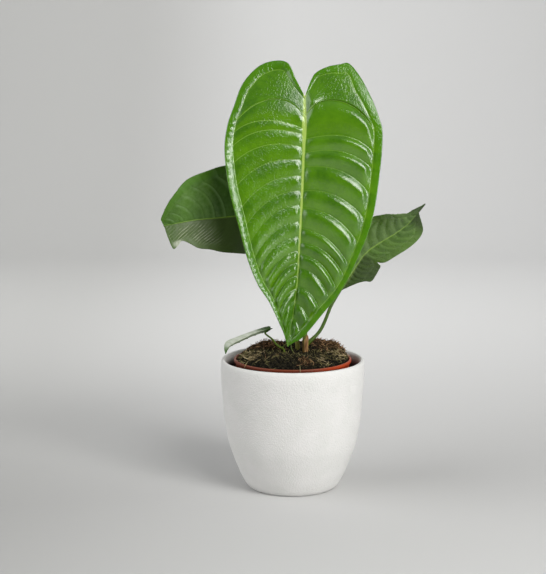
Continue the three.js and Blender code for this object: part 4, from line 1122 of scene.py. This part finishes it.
roots = {
    # single roots and hairs that lie on the soil or hang over the lip: [x, y] on the soil, [x, y, z] in space
    "paleRoots": {"radius": 0.3, "tones": (rgb(118, 106, 68), rgb(172, 158, 116)), "paths": [
        [[-41.6, 15], [-41.9, 4], [-41.5, -9], [-39.8, -21], [-37, -29]],
        [[38, -21], [43, -15], [47, -14], [51, -9]], [[37, -13], [43, -9], [48, -3], [51, 1]],
        [[34, -7], [40, -2], [45, 3]], [[-52, -1], [-48, -7], [-46, -15], [-42, -18]],
        [[-50, 6], [-45, 0], [-42, -7]],
        [[10, -37], [11.5, -26], [15.5, -18], [19.5, -32]], [[-36, -33], [-30, -30], [-24, -32]],
        [[6.2, -47, 130.4], [6.3, -54, 129.2], [6.4, -57.7, 127.6], [6.3, -58, 124.4]],
        [[-43, -27, 129.6], [-44.6, -33, 128.6], [-45.7, -36.1, 127], [-46.4, -35.4, 124.9]]]},
    "brownRoots": {"radius": 0.36, "tones": (rgb(84, 58, 34), rgb(134, 100, 64)), "paths": [
        [[-28.6, 7], [-27.6, -8], [-26.4, -24], [-26.6, -35]], [[-7, 7], [-6.3, -5], [-6.9, -27]],
        [[-19.8, -33], [-18.8, -24], [-16, -20.5], [-13.2, -27]], [[-34, 8], [-33, -4], [-34, -15]],
        [[-12.5, 2], [-12, -8], [-14, -18]]]},
    "greenShoots": {"radius": 0.55, "tones": (rgb(74, 90, 30), rgb(124, 140, 62)), "paths": [
        [[-1, 14, 139], [-1.3, 4], [0.6, -4]], [[-9.2, 8, 136.6], [-11.6, -1]],
        [[-10.3, 6, 136.4], [-8, 8, 138], [-5.6, 9, 140.4]]]},
}


def scatterKind(scatter, bed, kind, seed):
    shapes = [strandShape(kind, strandSeed) for strandSeed in kind.get("strands", [])] or [crumbShape()]
    material = peatFinish(kind["name"] + "Colour", kind["dark"], kind["light"], 0.002, loose=True)
    smallest, largest = kind["size"]
    for k, shape in enumerate(shapes):
        values = {"Shape": shape, "Share": kind["share"], "Density": kind["density"], "Seed": seed + 10 * k,
                  "Smallest": smallest, "Largest": largest, "Lean": kind["lean"], "Lift": kind["lift"],
                  "Material": material}
        scatter.run(kind["name"] + "s" + "ABC"[k], bed, values, "soil", ["soil"])
        bpy.data.objects.remove(shape)


def addRoots(name, kind):
    t = np.linspace(0, 1, 28)
    radius = kind["radius"]
    routes = [through([p if len(p) > 2 else [*p, soilHeight(*p) + 0.5 + radius] for p in path], t)
              for path in kind["paths"]]
    widths = radius * (0.4 + 0.6 * np.sin(math.pi * (0.06 + 0.88 * t)) ** 0.5)
    root = Finish(name + "Colour")
    streaks = root.ramp(root.noise(0.002, 4, 0.6), 0.3, 0.7)
    material = root.surface(root.mixed(streaks, *kind["tones"]), 0.7, root.bump(streaks, 0.0002, 0.6))
    addTubes(name, routes, widths, 8, material, "soil", "soil")


def addSoil():
    spots, faces, free = soilSheet()
    x, y = spots[:, 0] / mm, spots[:, 1] / mm
    inside = free * (np.hypot(x, y) < soilBed["litterRadius"])
    shares = {key: inside * patch(x, y, places) for key, places in patches.items()}
    shares["mossy"] = inside * (0.05 + 0.95 * patch(x, y, patches["mossy"]))
    stored = {"free": free, "everywhere": inside, **shares}
    source = meshObject("bedSource", spots, faces, smooth=True, stored=stored)
    peat = peatFinish("darkPeat", soilBed["dark"], soilBed["light"])
    values = {"Size": soilBed["lumpSize"], "Depth": soilBed["lumpDepth"], "Material": peat}
    bed = roughTree().run("soilBed", source, values, "soil", ["soil"])
    scatter = scatterTree()
    for k, kind in enumerate(litter):
        scatterKind(scatter, bed, kind, 7 + k)
    for name, kind in roots.items():
        addRoots(name, kind)
    bpy.data.objects.remove(source)


addSoil()
print("soil made")


# the dry sheath round the front stalk
drySheath = {"middle": (12.1, -6.2), "bottom": 131, "height": 18.5, "radius": 2.5, "wall": 0.35, "open": 50,
             "facing": 200, "dark": rgb(96, 62, 26), "light": rgb(190, 152, 94)}


def addSheath():
    sheath = drySheath
    paper = Finish("drySheath")
    streaks = paper.streaks(0.0012, 0.1)
    colour = paper.mixed(paper.ramp(streaks, 0.35, 0.7), sheath["dark"], sheath["light"])
    material = paper.surface(colour, 0.7, paper.bump(streaks, 0.0003, 0.7))
    firstTurn, lastTurn = sheath["facing"] + sheath["open"], sheath["facing"] + 360 - sheath["open"]
    turns = np.radians(np.linspace(firstTurn, lastTurn, 40))
    level, turn = np.meshgrid(np.linspace(0, 1, 30), turns, indexing="ij")
    height = sheath["bottom"] + sheath["height"] * level * (1 - 0.12 * np.sin(3 * turn + 1) * level)
    inner = sheath["radius"] + 0.3 * level ** 2 + 0.12 * np.sin(5 * turn + 3 * level)
    x, y = sheath["middle"]
    layers = [np.stack([x + reach * np.cos(turn), y + reach * np.sin(turn), height], -1).reshape(-1, 3)
              for reach in (inner + sheath["wall"], inner)]
    faces = bothSides(gridFaces(*level.shape), level.size)
    addPiece("sheath", np.concatenate(layers) * mm, faces, material, ["stalk_sheath"])


addSheath()

print("all pieces made")
